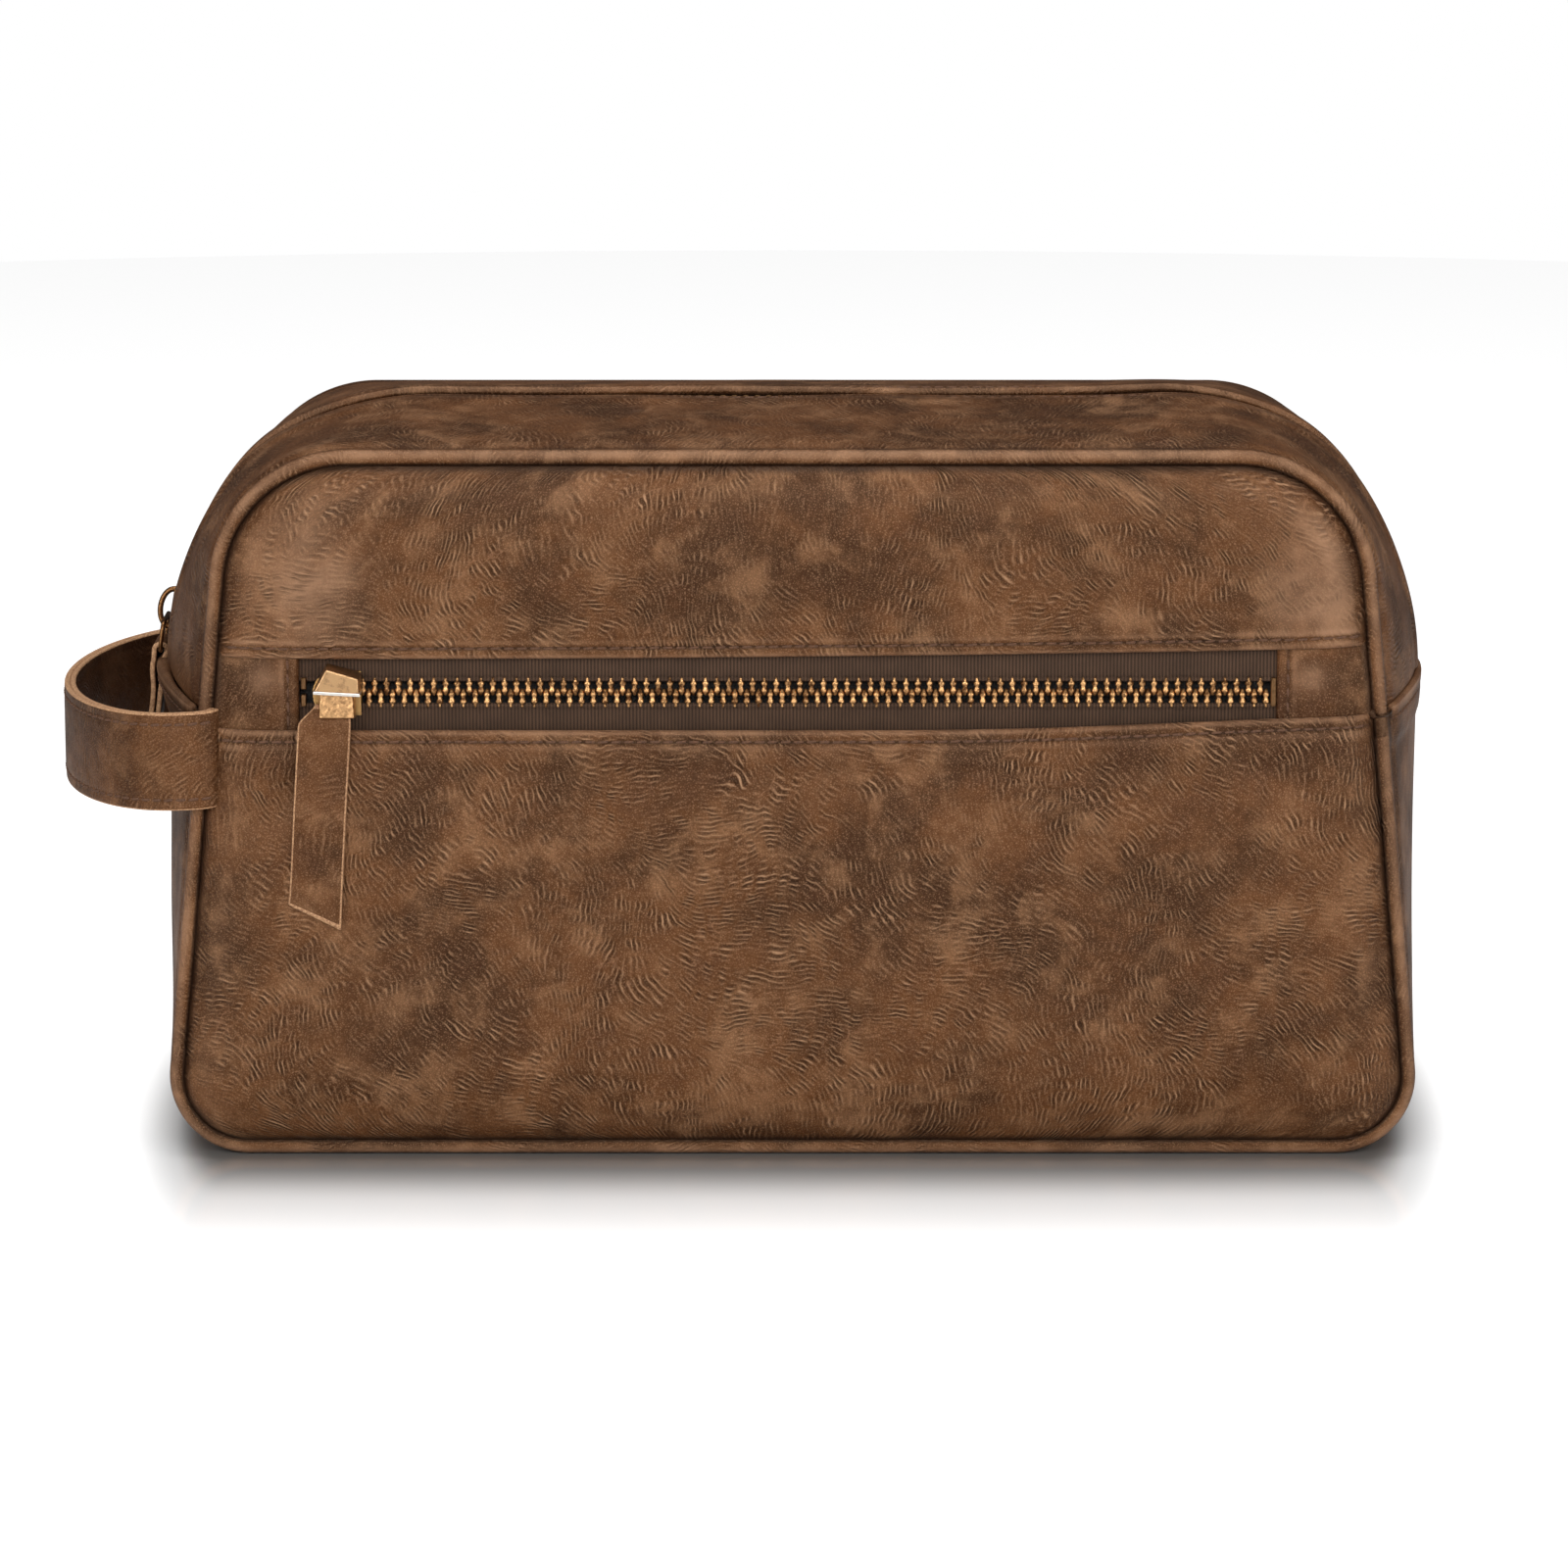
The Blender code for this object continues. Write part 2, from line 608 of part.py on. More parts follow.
def on_main_chain(along, across):
    """A point of the main chain. along starts at 0 where the left shoulder begins and runs over the top."""
    level = RIDGE_TOP - ZIP_DROP
    if along < 0.0:
        return Vector((ZIP_DROP - RIDGE_HALF_WIDTH, across, RIDGE_SHOULDER.z + along))
    if along < RIDGE_ARC:
        angle = along / CHAIN_RADIUS
        turn = Vector((-math.cos(angle), 0.0, math.sin(angle))) * CHAIN_RADIUS
        return Vector((-RIDGE_SHOULDER.x, across, RIDGE_SHOULDER.z)) + turn
    if along < RIDGE_ARC + RIDGE_LEVEL:
        return Vector((along - RIDGE_ARC - RIDGE_SHOULDER.x, across, level))
    point = on_main_chain(2.0 * RIDGE_ARC + RIDGE_LEVEL - along, across)
    return Vector((-point.x, point.y, point.z))


def main_zip():
    """The main chain has every second tooth, so that the row stays light: twice the pocket chain's pitch."""
    pitch = 2.0 * TOOTH_PITCH
    start = MAIN_SLIDER_ARC - MESHED_BEFORE
    count = int((MAIN_CHAIN_END - 0.5 * pitch - TOOTH_WIDTH - start) / pitch) + 1
    for part, hand in (("front", -1.0), ("back", 1.0)):
        edges = tooth_edges(start + (0.0 if hand < 0 else 0.5 * pitch), count, pitch, TOOTH_WIDTH)
        chain_half("main_teeth_" + part, edges, hand, on_main_chain)
        depths = [hand * depth for depth in (TAPE_HALF_WIDTH, CORD_OUTER + GAP)]
        rows = [wall_row(y, ZIP_DROP - 0.5 * TAPE) for y in sorted(depths)]
        name = "main_tape_" + part
        gusset_strip(name, over_the_top(HEM_Z + GAP), rows, TAPE, cloth(name, TAPE_BROWN))
        stop_start = MAIN_SLIDER_ARC - MAIN_STOP_BEFORE
        main_stop("main_top_stop_" + part, stop_start, hand * STOP_PARTING, hand * CORD_OUTER)
    main_stop("main_bottom_stop", MAIN_CHAIN_END + GAP, -CORD_OUTER, CORD_OUTER)


def main_stop(name, start, *across):
    stops = (start, start + STOP_LENGTH)
    bm = mapped_grid(stops, (min(across), max(across)), on_main_chain)
    return thicken(add_object(name, bm, brass(name)), TOOTH_THICKNESS, 0.0)


# ---- sliders ----


def slider_body(name):
    """Two plates round the chain, joined by a post at the nose. Its origin is the middle of the chain."""
    half_length, half_width = 0.5 * SLIDER_LENGTH, 0.5 * SLIDER_WIDTH
    inside, outside = SLIDER_INSIDE, SLIDER_INSIDE + SLIDER_PLATE
    outer_plate = box_mesh((-half_length, -half_width, inside), (half_length, half_width, outside))
    slider = add_object(name, outer_plate, brass(name))
    extras = [("inner_plate", (-half_length, -half_width, -outside), (half_length, half_width, -inside))]
    for hand, label in ((-1.0, "front"), (1.0, "back")):
        across = sorted((hand * half_width, hand * (half_width - SLIDER_PLATE)))
        length = 0.9 * half_length
        for plate, face in (("outer", 1.0), ("inner", -1.0)):
            low, high = sorted((face * SLIDER_LIP_Z, face * (inside + JOIN)))
            extras.append((f"{label}_{plate}_lip", (-length, across[0], low), (length, across[1], high)))
    post_start = -half_length + GAP
    post_low = (post_start, -SLIDER_POST_HALF_WIDTH, -inside - JOIN)
    post_high = (post_start + SLIDER_POST_LENGTH, SLIDER_POST_HALF_WIDTH, inside + JOIN)
    extras.append(("post", post_low, post_high))
    for label, low, high in extras:
        combine(slider, add_object(name + "_" + label, box_mesh(low, high), collection=CUTTERS))
    return slider


def add_hood(slider):
    """The pocket slider's crown: two cheeks that hold the pull's pin, under a roof."""
    base = SLIDER_INSIDE + 0.5 * SLIDER_PLATE
    roof_low, roof_high = HOOD_ROOF_Z
    inner, outer = HOOD_CHEEK_X
    for label, left, right in (("left", -outer, -inner), ("right", inner, outer)):
        cheek = box_mesh((left, HOOD_CHEEK_Y[0], base), (right, HOOD_CHEEK_Y[1], roof_low + JOIN))
        combine(slider, add_object("hood_cheek_" + label, cheek, collection=CUTTERS))
    roof = box_mesh((-outer, HOOD_ROOF_Y[0], roof_low), (outer, HOOD_ROOF_Y[1], roof_high))
    combine(slider, add_object("hood_roof", roof, collection=CUTTERS))
    beyond = Vector((SLIDER_WIDTH, 0.0, 0.0))
    hole = rod_mesh(POCKET_PIN - beyond, POCKET_PIN + beyond, PIN_RADIUS + GAP)
    combine(slider, add_object("hood_pin_hole", hole, collection=CUTTERS), "DIFFERENCE")


def add_bail(slider):
    """The main slider's crown: an arch along the chain with an open hole through it."""
    base = SLIDER_INSIDE + 0.4 * SLIDER_PLATE

    def place(angle, wall):
        out = (BAIL_HALF_LENGTH - wall) * math.cos(angle)
        return Vector((out, 0.0, base + (BAIL_HEIGHT - wall) * math.sin(angle)))

    angles = [math.pi * i / 10 for i in range(11)]
    arch = add_object("bail_arch", mapped_grid(angles, (0.0, BAIL_BAND), place), collection=CUTTERS)
    thicken(arch, BAIL_WIDTH, 0.0)
    combine(slider, arch)


def pocket_frame():
    """The pocket slider's frame: its x is +X, its y is up and its z faces the front."""
    turn = Matrix(((1.0, 0.0, 0.0), (0.0, 0.0, -1.0), (0.0, 1.0, 0.0))).to_4x4()
    return Matrix.Translation((POCKET_SLIDER_X, POCKET_CHAIN_Y, POCKET_CHAIN_Z)) @ turn


def main_frame():
    """The main slider's frame: its x runs up the chain, its y is +Y and its z faces out to the left."""
    s, c = math.sin(MAIN_SLIDER_ANGLE), math.cos(MAIN_SLIDER_ANGLE)
    turn = Matrix(((s, 0.0, -c), (0.0, 1.0, 0.0), (c, 0.0, s))).to_4x4()
    return Matrix.Translation(on_main_chain(MAIN_SLIDER_ARC, 0.0)) @ turn


def place_about(item, frame, pivot):
    """Puts an item modelled in a slider's frame into the scene, with its origin at pivot on the joint."""
    item.data.transform(Matrix.Translation(-pivot) @ frame)
    item.location = pivot
    return item


def pocket_slider():
    frame = pocket_frame()
    name = "pocket_slider"
    slider = slider_body(name)
    add_hood(slider)
    slider.matrix_world = frame
    for modifier in slider.modifiers:
        modifier.object.matrix_world = frame
    return slider


def main_slider():
    """The slider's place is set through its parent empty, which stands on the axis that it turns about."""
    frame = main_frame()
    slider = slider_body("main_slider")
    add_bail(slider)
    pivot = bpy.data.objects.new("main_slider_axis", None)
    pivot.location = (-RIDGE_SHOULDER.x, 0.0, RIDGE_SHOULDER.z)
    PARTS.objects.link(pivot)
    bpy.context.view_layer.update()
    slider.parent = pivot
    slider.matrix_parent_inverse = pivot.matrix_world.inverted()
    slider.matrix_basis = frame
    for modifier in slider.modifiers:
        modifier.object.matrix_world = frame
    return slider


def pocket_pull():
    """The brass head on its pin, and the leather strip it holds."""
    frame = pocket_frame()
    pivot = frame @ POCKET_PIN
    half_pin = Vector((HEAD_PIN_HALF, 0.0, 0.0))
    pin = rod_mesh(POCKET_PIN - half_pin, POCKET_PIN + half_pin, PIN_RADIUS)
    head = place_about(add_object("pocket_pull_head", pin, brass("pocket_pull_head")), frame, pivot)
    arm_low = (-HEAD_HALF_WIDTH, HEAD_END, POCKET_PIN.z - HEAD_HALF_THICKNESS)
    arm_high = (HEAD_HALF_WIDTH, POCKET_PIN.y, POCKET_PIN.z + HEAD_HALF_THICKNESS)
    arm = add_object("head_arm", box_mesh(arm_low, arm_high), collection=CUTTERS)
    combine(head, place_about(arm, frame, pivot))

    top = HEAD_END - GAP
    bottom = top - POCKET_PULL_LENGTH
    left = POCKET_PULL_SHIFT - 0.5 * PULL_WIDTH
    corners = [
        (left, top),
        (left + PULL_WIDTH, top),
        (left + PULL_WIDTH - POCKET_PULL_LEAN, bottom),
        (left - POCKET_PULL_LEAN, bottom + POCKET_PULL_SLANT),
    ]
    strip = flat_outline(corners, PULL_THICKNESS, POCKET_PIN.z + POCKET_PULL_LIFT)
    name = "pocket_pull_strap"
    strap = soften(add_object(name, strip, leather(name)), 0.3 * MM, 1)
    place_about(strap, frame, pivot)


def flat_outline(corners, thickness, middle_z):
    """A prism: an outline in x and y, with its thickness along z."""
    bm = bmesh.new()
    face = bm.faces.new([bm.verts.new((x, y, middle_z - 0.5 * thickness)) for x, y in corners])
    bm.normal_update()
    if face.normal.z > 0.0:
        face.normal_flip()
    lifted = bmesh.ops.extrude_face_region(bm, geom=[face])["geom"]
    top = [item for item in lifted if isinstance(item, bmesh.types.BMVert)]
    bmesh.ops.translate(bm, verts=top, vec=(0.0, 0.0, thickness))
    bmesh.ops.recalc_face_normals(bm, faces=bm.faces)
    return bm


def main_pull():
    """A wire ring through the bail, and a leather strip folded over the ring's lower bar."""
    pivot = main_frame() @ MAIN_PIN
    down = Matrix.Rotation(MAIN_PULL_LEAN, 4, "Y")
    hang = Matrix.Translation(pivot) @ down
    ring = bpy.data.curves.new("main_pull_ring", "CURVE")
    ring.dimensions = "3D"
    ring.bevel_depth = RING_WIRE
    ring.bevel_resolution = 1
    spline = ring.splines.new("POLY")
    spline.use_cyclic_u = True
    corners = ring_path()
    spline.points.add(len(corners) - 1)
    for point, (y, z) in zip(spline.points, corners):
        point.co = (0.0, y, z, 1.0)
    ring.materials.append(brass("main_pull_ring"))
    wire = bpy.data.objects.new("main_pull_ring", ring)
    wire.matrix_world = hang
    PARTS.objects.link(wire)

    radius = RING_WIRE + GAP + 0.5 * STRAP_PLY
    half_gap = 0.5 * (GAP + STRAP_PLY)
    end = -RING_DROP - MAIN_PULL_LENGTH
    neck = -RING_DROP - 3.0 * radius  # where the two plies come together below the ring's bar
    path = [(half_gap, end), (half_gap, neck)]
    for i in range(9):
        angle = -0.15 * math.pi + 1.3 * math.pi * i / 8
        path.append((radius * math.cos(angle), -RING_DROP + radius * math.sin(angle)))
    path += [(-half_gap, neck), (-half_gap, end)]
    edges = (-0.5 * PULL_WIDTH, 0.5 * PULL_WIDTH)
    bm = mapped_grid(edges, path, lambda y, p: Vector((p[0], y, p[1])))
    name = "main_pull_strap"
    strap = thicken(add_object(name, bm, leather(name)), STRAP_PLY, 0.0)
    strap.matrix_world = hang


def ring_path():
    """The ring's centre line: a rectangle with cut corners, in y and z from the joint's axis."""
    cut, half, drop = RING_CORNER, RING_HALF_WIDTH, RING_DROP
    return [
        (-half + cut, 0.0),
        (half - cut, 0.0),
        (half, -cut),
        (half, -drop + cut),
        (half - cut, -drop),
        (-half + cut, -drop),
        (-half, -drop + cut),
        (-half, -cut),
    ]


# ---- carrying loop ----


def on_handle(angle, z, drop):
    """A point of the strap. angle runs from 0 at the front end to pi at the back end."""
    half_depth = HANDLE_HALF_DEPTH
    point = Vector((HANDLE_ROOT_X - HANDLE_REACH * math.sin(angle), -half_depth * math.cos(angle), z))
    normal = Vector((-half_depth * math.sin(angle), -HANDLE_REACH * math.cos(angle), 0.0)).normalized()
    return point - normal * drop


def handle():
    pivot = Vector((HANDLE_ROOT_X - HANDLE_PIVOT_OUT, 0.0, HANDLE_Z))
    angles = [math.pi * i / 18 for i in range(19)]
    heights = (HANDLE_Z + 0.5 * HANDLE_WIDTH, HANDLE_Z - 0.5 * HANDLE_WIDTH)
    outer = ("handle_strap_outer", 0.0, LEATHER_BROWN)
    inner = ("handle_strap_lining", STRAP_PLY + GAP, LEATHER_DARK)
    for name, drop, colour in (outer, inner):
        bm = mapped_grid(angles, heights, lambda angle, z: on_handle(angle, z, drop) - pivot)
        strap = thicken(add_object(name, bm, leather(name, colour)), STRAP_PLY)
        strap.location = pivot


# ---- build ----


front_panel()
back_panel()
top_gusset("top_gusset_front", -1.0)
top_gusset("top_gusset_back", 1.0)
bottom_gusset()
padding_and_lining()
pocket_zip()
pocket_pouch()
pocket_slider()
pocket_pull()
main_zip()
main_slider()
main_pull()
handle()
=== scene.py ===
"""Looks for the leather shaving kit bag: soft leather, stitching, brass zips, camera and studio.

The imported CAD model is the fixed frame. Every soft part is rebuilt here as a thin curved sheet on the same
surfaces as the CAD: the front and back panels are sewn to a gusset that runs round them, and a place on the
gusset is a distance along the seam outline, a distance out from it and a depth y. All lengths are metres.
"""

import math

import bmesh
import bpy
import numpy as np
from mathutils import Matrix, Vector, noise


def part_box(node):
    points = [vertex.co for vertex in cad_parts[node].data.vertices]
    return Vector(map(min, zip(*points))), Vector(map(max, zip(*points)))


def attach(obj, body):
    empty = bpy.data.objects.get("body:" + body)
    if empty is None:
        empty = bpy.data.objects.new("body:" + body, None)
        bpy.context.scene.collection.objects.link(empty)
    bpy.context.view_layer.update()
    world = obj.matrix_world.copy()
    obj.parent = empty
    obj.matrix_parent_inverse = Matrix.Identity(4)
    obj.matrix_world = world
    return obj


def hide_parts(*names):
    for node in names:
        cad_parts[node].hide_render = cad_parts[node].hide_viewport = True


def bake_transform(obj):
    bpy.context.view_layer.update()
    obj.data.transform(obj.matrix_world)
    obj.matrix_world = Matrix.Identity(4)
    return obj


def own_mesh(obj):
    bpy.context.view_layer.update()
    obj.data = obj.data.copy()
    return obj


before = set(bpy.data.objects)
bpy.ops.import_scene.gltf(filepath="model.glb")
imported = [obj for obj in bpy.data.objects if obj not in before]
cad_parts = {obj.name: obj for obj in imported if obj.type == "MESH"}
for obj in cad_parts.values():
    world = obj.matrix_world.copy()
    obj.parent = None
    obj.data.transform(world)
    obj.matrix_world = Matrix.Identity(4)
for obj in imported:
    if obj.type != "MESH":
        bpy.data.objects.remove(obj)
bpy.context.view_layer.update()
MM = 0.001

# seam outline and gusset, as in the CAD
SEAM_TOP = 146.3 * MM
SHOULDER_X = 91.5 * MM
SHOULDER_RADIUS = 26.0 * MM
SIDE_SLOPE = math.radians(5.5)
FOOT_RADIUS = 13.5 * MM
SEAM_DEPTH = 51.5 * MM
PANEL_CROWN = 4.0 * MM
CROWN_REACH = 13.0 * MM
RIDGE_HALF_WIDTH = 133.5 * MM
RIDGE_TOP = 153.9 * MM
RIDGE_SHOULDER_RADIUS = 57.0 * MM
RIDGE_FOOT_RADIUS = 20.0 * MM
HEM_Z = 94.3 * MM
GAP = 0.3 * MM
ROLL_RADIUS = 1.8 * MM
ZIP_DROP = 1.8 * MM

# sheets
SHOULDER_FULLNESS = 2.0 * MM  # the gusset stands out a little more at its two shoulders
LEATHER = 1.0 * MM
FOLD_RADIUS = 1.05 * MM  # outside of a folded hem
FOLD_BACK = 6.0 * MM  # leather turned back behind a hem
STITCH_INSET = 2.3 * MM
STITCH_PITCH = 2.7 * MM
STITCH_LENGTH = 2.1 * MM
THREAD_RADIUS = 0.32 * MM
SEAM_ALLOWANCE = 4.0 * MM
TAB_DEPTH = 1.2 * MM  # the pocket's end tabs lie under the hems
ZIP_SLOT = 5.2 * MM  # from the middle of the main chain to the gusset's hem

# zips
TOOTH_PITCH = 2.44 * MM
TAPE_HALF_WIDTH = 15.5 * MM

ROOT_HALF = math.sqrt(0.5)
ROLL_WIDTH = 0.5 * GAP * ROOT_HALF + ROLL_RADIUS * (1.0 + ROOT_HALF)
ROLL_BACK_Y = SEAM_DEPTH - 0.5 * GAP * ROOT_HALF - ROLL_RADIUS * ROOT_HALF
SHOULDER_Z = SEAM_TOP - SHOULDER_RADIUS
SEAM_BOTTOM = ROLL_WIDTH
FOOT_Z = SEAM_BOTTOM + FOOT_RADIUS
FACE_Y = SEAM_DEPTH + PANEL_CROWN
WINDOW_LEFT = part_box("pocket_tab_left")[1].x
WINDOW_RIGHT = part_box("pocket_tab_right")[0].x
WINDOW_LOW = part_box("pocket_tab_left")[0].z
WINDOW_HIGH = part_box("pocket_tab_left")[1].z
POCKET_CHAIN_Z = 0.5 * (WINDOW_LOW + WINDOW_HIGH)
POCKET_CHAIN_Y = 0.5 * (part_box("pocket_teeth_upper")[0].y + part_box("pocket_teeth_upper")[1].y)
RIDGE_SHOULDER_X = RIDGE_HALF_WIDTH - RIDGE_SHOULDER_RADIUS
RIDGE_SHOULDER_Z = RIDGE_TOP - RIDGE_SHOULDER_RADIUS
CHAIN_RADIUS = RIDGE_SHOULDER_RADIUS - ZIP_DROP
BAG_MIDDLE = Vector((0.0, 0.0, 0.5 * SEAM_TOP))
SHOULDER_RUN = SHOULDER_X + 0.8 * SHOULDER_RADIUS  # middle of a shoulder, measured along the seam


def side_x(z):
    """X of the seam outline on its straight, leaning side."""
    reach = SHOULDER_X * math.cos(SIDE_SLOPE) + SHOULDER_Z * math.sin(SIDE_SLOPE) + SHOULDER_RADIUS
    return (reach - z * math.sin(SIDE_SLOPE)) / math.cos(SIDE_SLOPE)


FOOT_X = side_x(FOOT_Z) - FOOT_RADIUS / math.cos(SIDE_SLOPE)


# ---- the seam outline ----


def half_outline(step):
    """Distance from the middle of the top, x, z and normal angle along the right half of the seam outline."""
    def arc(x, z, radius, first, last):
        count = int(radius * abs(last - first) / step) + 2
        angles = np.linspace(first, last, count)
        return x + radius * np.cos(angles), z + radius * np.sin(angles), angles

    shoulder = arc(SHOULDER_X, SHOULDER_Z, SHOULDER_RADIUS, 0.5 * math.pi, SIDE_SLOPE)
    foot = arc(FOOT_X, FOOT_Z, FOOT_RADIUS, SIDE_SLOPE, -0.5 * math.pi)
    x = np.concatenate([[0.0], shoulder[0], foot[0], [0.0]])
    z = np.concatenate([[SEAM_TOP], shoulder[1], foot[1], [SEAM_BOTTOM]])
    angle = np.concatenate([[0.5 * math.pi], shoulder[2], foot[2], [-0.5 * math.pi]])
    run = np.concatenate([[0.0], np.cumsum(np.hypot(np.diff(x), np.diff(z)))])
    even = np.linspace(0.0, run[-1], int(run[-1] / step))
    return even, np.interp(even, run, x), np.interp(even, run, z), np.interp(even, run, angle)


RUN, RUN_X, RUN_Z, RUN_ANGLE = half_outline(0.25 * MM)


def ridge_distance(x, z):
    """Signed distance outside the line along the middle of the gusset."""
    middle = 0.5 * RIDGE_TOP
    radius = np.where(z > middle, RIDGE_SHOULDER_RADIUS, RIDGE_FOOT_RADIUS)
    dx = np.abs(x) - (RIDGE_HALF_WIDTH - radius)
    dz = np.abs(z - middle) - (middle - radius)
    return np.hypot(np.maximum(dx, 0.0), np.maximum(dz, 0.0)) + np.minimum(np.maximum(dx, dz), 0.0) - radius


def ridge_offsets():
    near, far = np.zeros_like(RUN), np.full_like(RUN, 40.0 * MM)
    for _ in range(40):
        middle = 0.5 * (near + far)
        inside = ridge_distance(RUN_X + np.cos(RUN_ANGLE) * middle, RUN_Z + np.sin(RUN_ANGLE) * middle) < 0.0
        near, far = np.where(inside, middle, near), np.where(inside, far, middle)
    return near


RUN_OFFSET = ridge_offsets()


def run_at_height(z):
    """Distance along the outline at which the side passes height z."""
    side = (RUN_Z < SHOULDER_Z) & (RUN_Z > FOOT_Z)
    return float(np.interp(-z, -RUN_Z[side], RUN[side]))


def run_at_x(x):
    """Distance along the outline at which the level top passes x."""
    return x


def outline_at(run):
    """x, z, normal x, normal z and ridge offset at distances along the outline; negative ones are on the left."""
    far = np.abs(run)
    hand = np.where(run < 0.0, -1.0, 1.0)
    angle = np.interp(far, RUN, RUN_ANGLE)
    x, z = np.interp(far, RUN, RUN_X), np.interp(far, RUN, RUN_Z)
    return hand * x, z, hand * np.cos(angle), np.sin(angle), np.interp(far, RUN, RUN_OFFSET)


def swell(y):
    return np.sin(0.5 * math.pi * (1.0 - np.minimum(np.abs(y) / ROLL_BACK_Y, 1.0)))


def bump_at(x, width):
    return np.exp(-((x / width) ** 2))


def ease(t):
    t = np.clip(t, 0.0, 1.0)
    return t * t * (3.0 - 2.0 * t)


def waves(points, length, seed):
    """Smooth noise in -1..1 at an array of points, with bumps about length apart."""
    shift = Vector((7.3 * seed, 1.7 * seed, 3.1 * seed))
    flat = points.reshape(-1, 3) / length
    return np.array([noise.noise(Vector(p) + shift) for p in flat]).reshape(points.shape[:-1])


def on_gusset(run, y, sink=0.0):
    """Points of the gusset's outer surface, sunk below it by sink."""
    x, z, nx, nz, offset = outline_at(run)
    behind = ROLL_BACK_Y - np.abs(y)
    crease = 0.75 * MM * bump_at(behind - 3.0 * MM, 1.6 * MM)
    fuller = SHOULDER_FULLNESS * bump_at(np.abs(run) - SHOULDER_RUN, 15.0 * MM)
    fuller = fuller + 0.9 * MM * bump_at(run - SHOULDER_X, 22.0 * MM)
    out = ROLL_WIDTH + swell(y) * (offset - ROLL_WIDTH + fuller) - crease - sink
    return np.stack([x + nx * out, y + 0.0 * x, z + nz * out], -1)


def on_lip(run, angle, side, spread=0.0):
    """Points of the gusset's rounded lip; angle 0 is its top and -pi / 2 faces away from the bag's middle."""
    x, z, nx, nz, _ = outline_at(run)
    radius = ROLL_RADIUS + spread
    out = ROLL_WIDTH - ROLL_RADIUS + radius * np.cos(angle)
    y = side * (ROLL_BACK_Y - radius * np.sin(angle))
    return np.stack([x + nx * out, y + 0.0 * x, z + nz * out], -1)


def on_allowance(run, along, side, across):
    x, z, nx, nz, _ = outline_at(run)
    out = (across - along) * ROOT_HALF
    y = side * (SEAM_DEPTH - (along + across) * ROOT_HALF)
    return np.stack([x + nx * out, y + 0.0 * x, z + nz * out], -1)


# ---- making pieces ----


def mesh_piece(name, vertices, faces, materials, body="bag", stands_for=(), slot=None):
    mesh = bpy.data.meshes.new(name)
    mesh.from_pydata([tuple(v) for v in vertices], [], [tuple(f) for f in faces])
    for material in materials:
        mesh.materials.append(material)
    mesh.shade_smooth()
    item = bpy.data.objects.new(name, mesh)
    bpy.context.scene.collection.objects.link(item)
    return claim(item, body, stands_for, slot)


def claim(item, body, stands_for=(), slot=None):
    """Puts a piece on its body and hides the CAD nodes it stands for; slot, whose finish it has, is not used."""
    if body:
        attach(item, body)
    if stands_for:
        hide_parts(*stands_for)
    return item


def grid_faces(rows, columns, first=0):
    corner = first + np.arange(rows - 1)[:, None] * columns + np.arange(columns - 1)[None, :]
    corner = corner.reshape(-1)
    return np.stack([corner, corner + 1, corner + columns + 1, corner + columns], -1)


def lengths(points):
    return np.concatenate([[0.0], np.cumsum(np.linalg.norm(np.diff(points, axis=0), axis=1))])


def set_uv(mesh, uv):
    """One UV pair per vertex, in metres along the sheet."""
    corners = np.empty(len(mesh.loops), np.int32)
    mesh.loops.foreach_get("vertex_index", corners)
    mesh.uv_layers.new(name="sheet").data.foreach_set("uv", np.asarray(uv, np.float32)[corners].ravel())


def set_tone(mesh, tone):
    """Per vertex: above 0, wear and painted highlight on folds, lips and corners; below 0, painted shade in seams,
    creases and behind folds.
    """
    attribute = mesh.attributes.new("tone", "FLOAT", "POINT")
    attribute.data.foreach_set("value", np.asarray(tone, np.float32).ravel())


def face_outwards(mesh, middle):
    """Turns all faces over if most of them look towards middle."""
    normals = np.array([tuple(p.normal) for p in mesh.polygons])
    centres = np.array([tuple(p.center) for p in mesh.polygons])
    areas = np.array([p.area for p in mesh.polygons])
    if (areas[:, None] * normals * (centres - np.array(middle))).sum() < 0.0:
        mesh.flip_normals()


def sheet(name, points, materials, thickness=LEATHER, tone=None, middle=BAG_MIDDLE, edge=None, turned=None, **ways):
    """A sheet through a grid of points, thickened inwards.

    edge is a material for the cut rim. turned adds further rows of vertices beyond the border given as a list of
    vertex numbers: (border, list of arrays of points, one per extra row).
    """
    rows, columns = points.shape[:2]
    vertices = points.reshape(-1, 3)
    faces = grid_faces(rows, columns)
    across = lengths(points[rows // 2])
    down = lengths(points[:, columns // 2])
    uv = np.stack(np.meshgrid(across, down), -1).reshape(-1, 2)
    tones = np.zeros(len(vertices)) if tone is None else np.asarray(tone, float).reshape(-1)
    if turned:
        border, extra = turned
        last = np.asarray(border)
        for ring in extra:
            fresh = len(vertices) + np.arange(len(ring))
            faces = np.concatenate([faces, np.stack([last[:-1], fresh[:-1], fresh[1:], last[1:]], -1)])
            vertices = np.concatenate([vertices, ring])
            uv = np.concatenate([uv, uv[border]])
            # The turned-in rows get painted shade.
            tones = np.concatenate([tones, np.full(len(ring), -1.0)])
            last = fresh
    every = list(materials) + ([edge] if edge else [])
    item = mesh_piece(name, vertices, faces, every, **ways)
    set_uv(item.data, uv)
    set_tone(item.data, tones)
    bm = bmesh.new()
    bm.from_mesh(item.data)
    bmesh.ops.recalc_face_normals(bm, faces=bm.faces)
    bm.to_mesh(item.data)
    bm.free()
    face_outwards(item.data, middle)
    solidify = item.modifiers.new("thickness", "SOLIDIFY")
    solidify.thickness = thickness
    solidify.offset = -1.0
    solidify.use_even_offset = False
    if edge:
        solidify.material_offset_rim = len(every) - 1
    return item


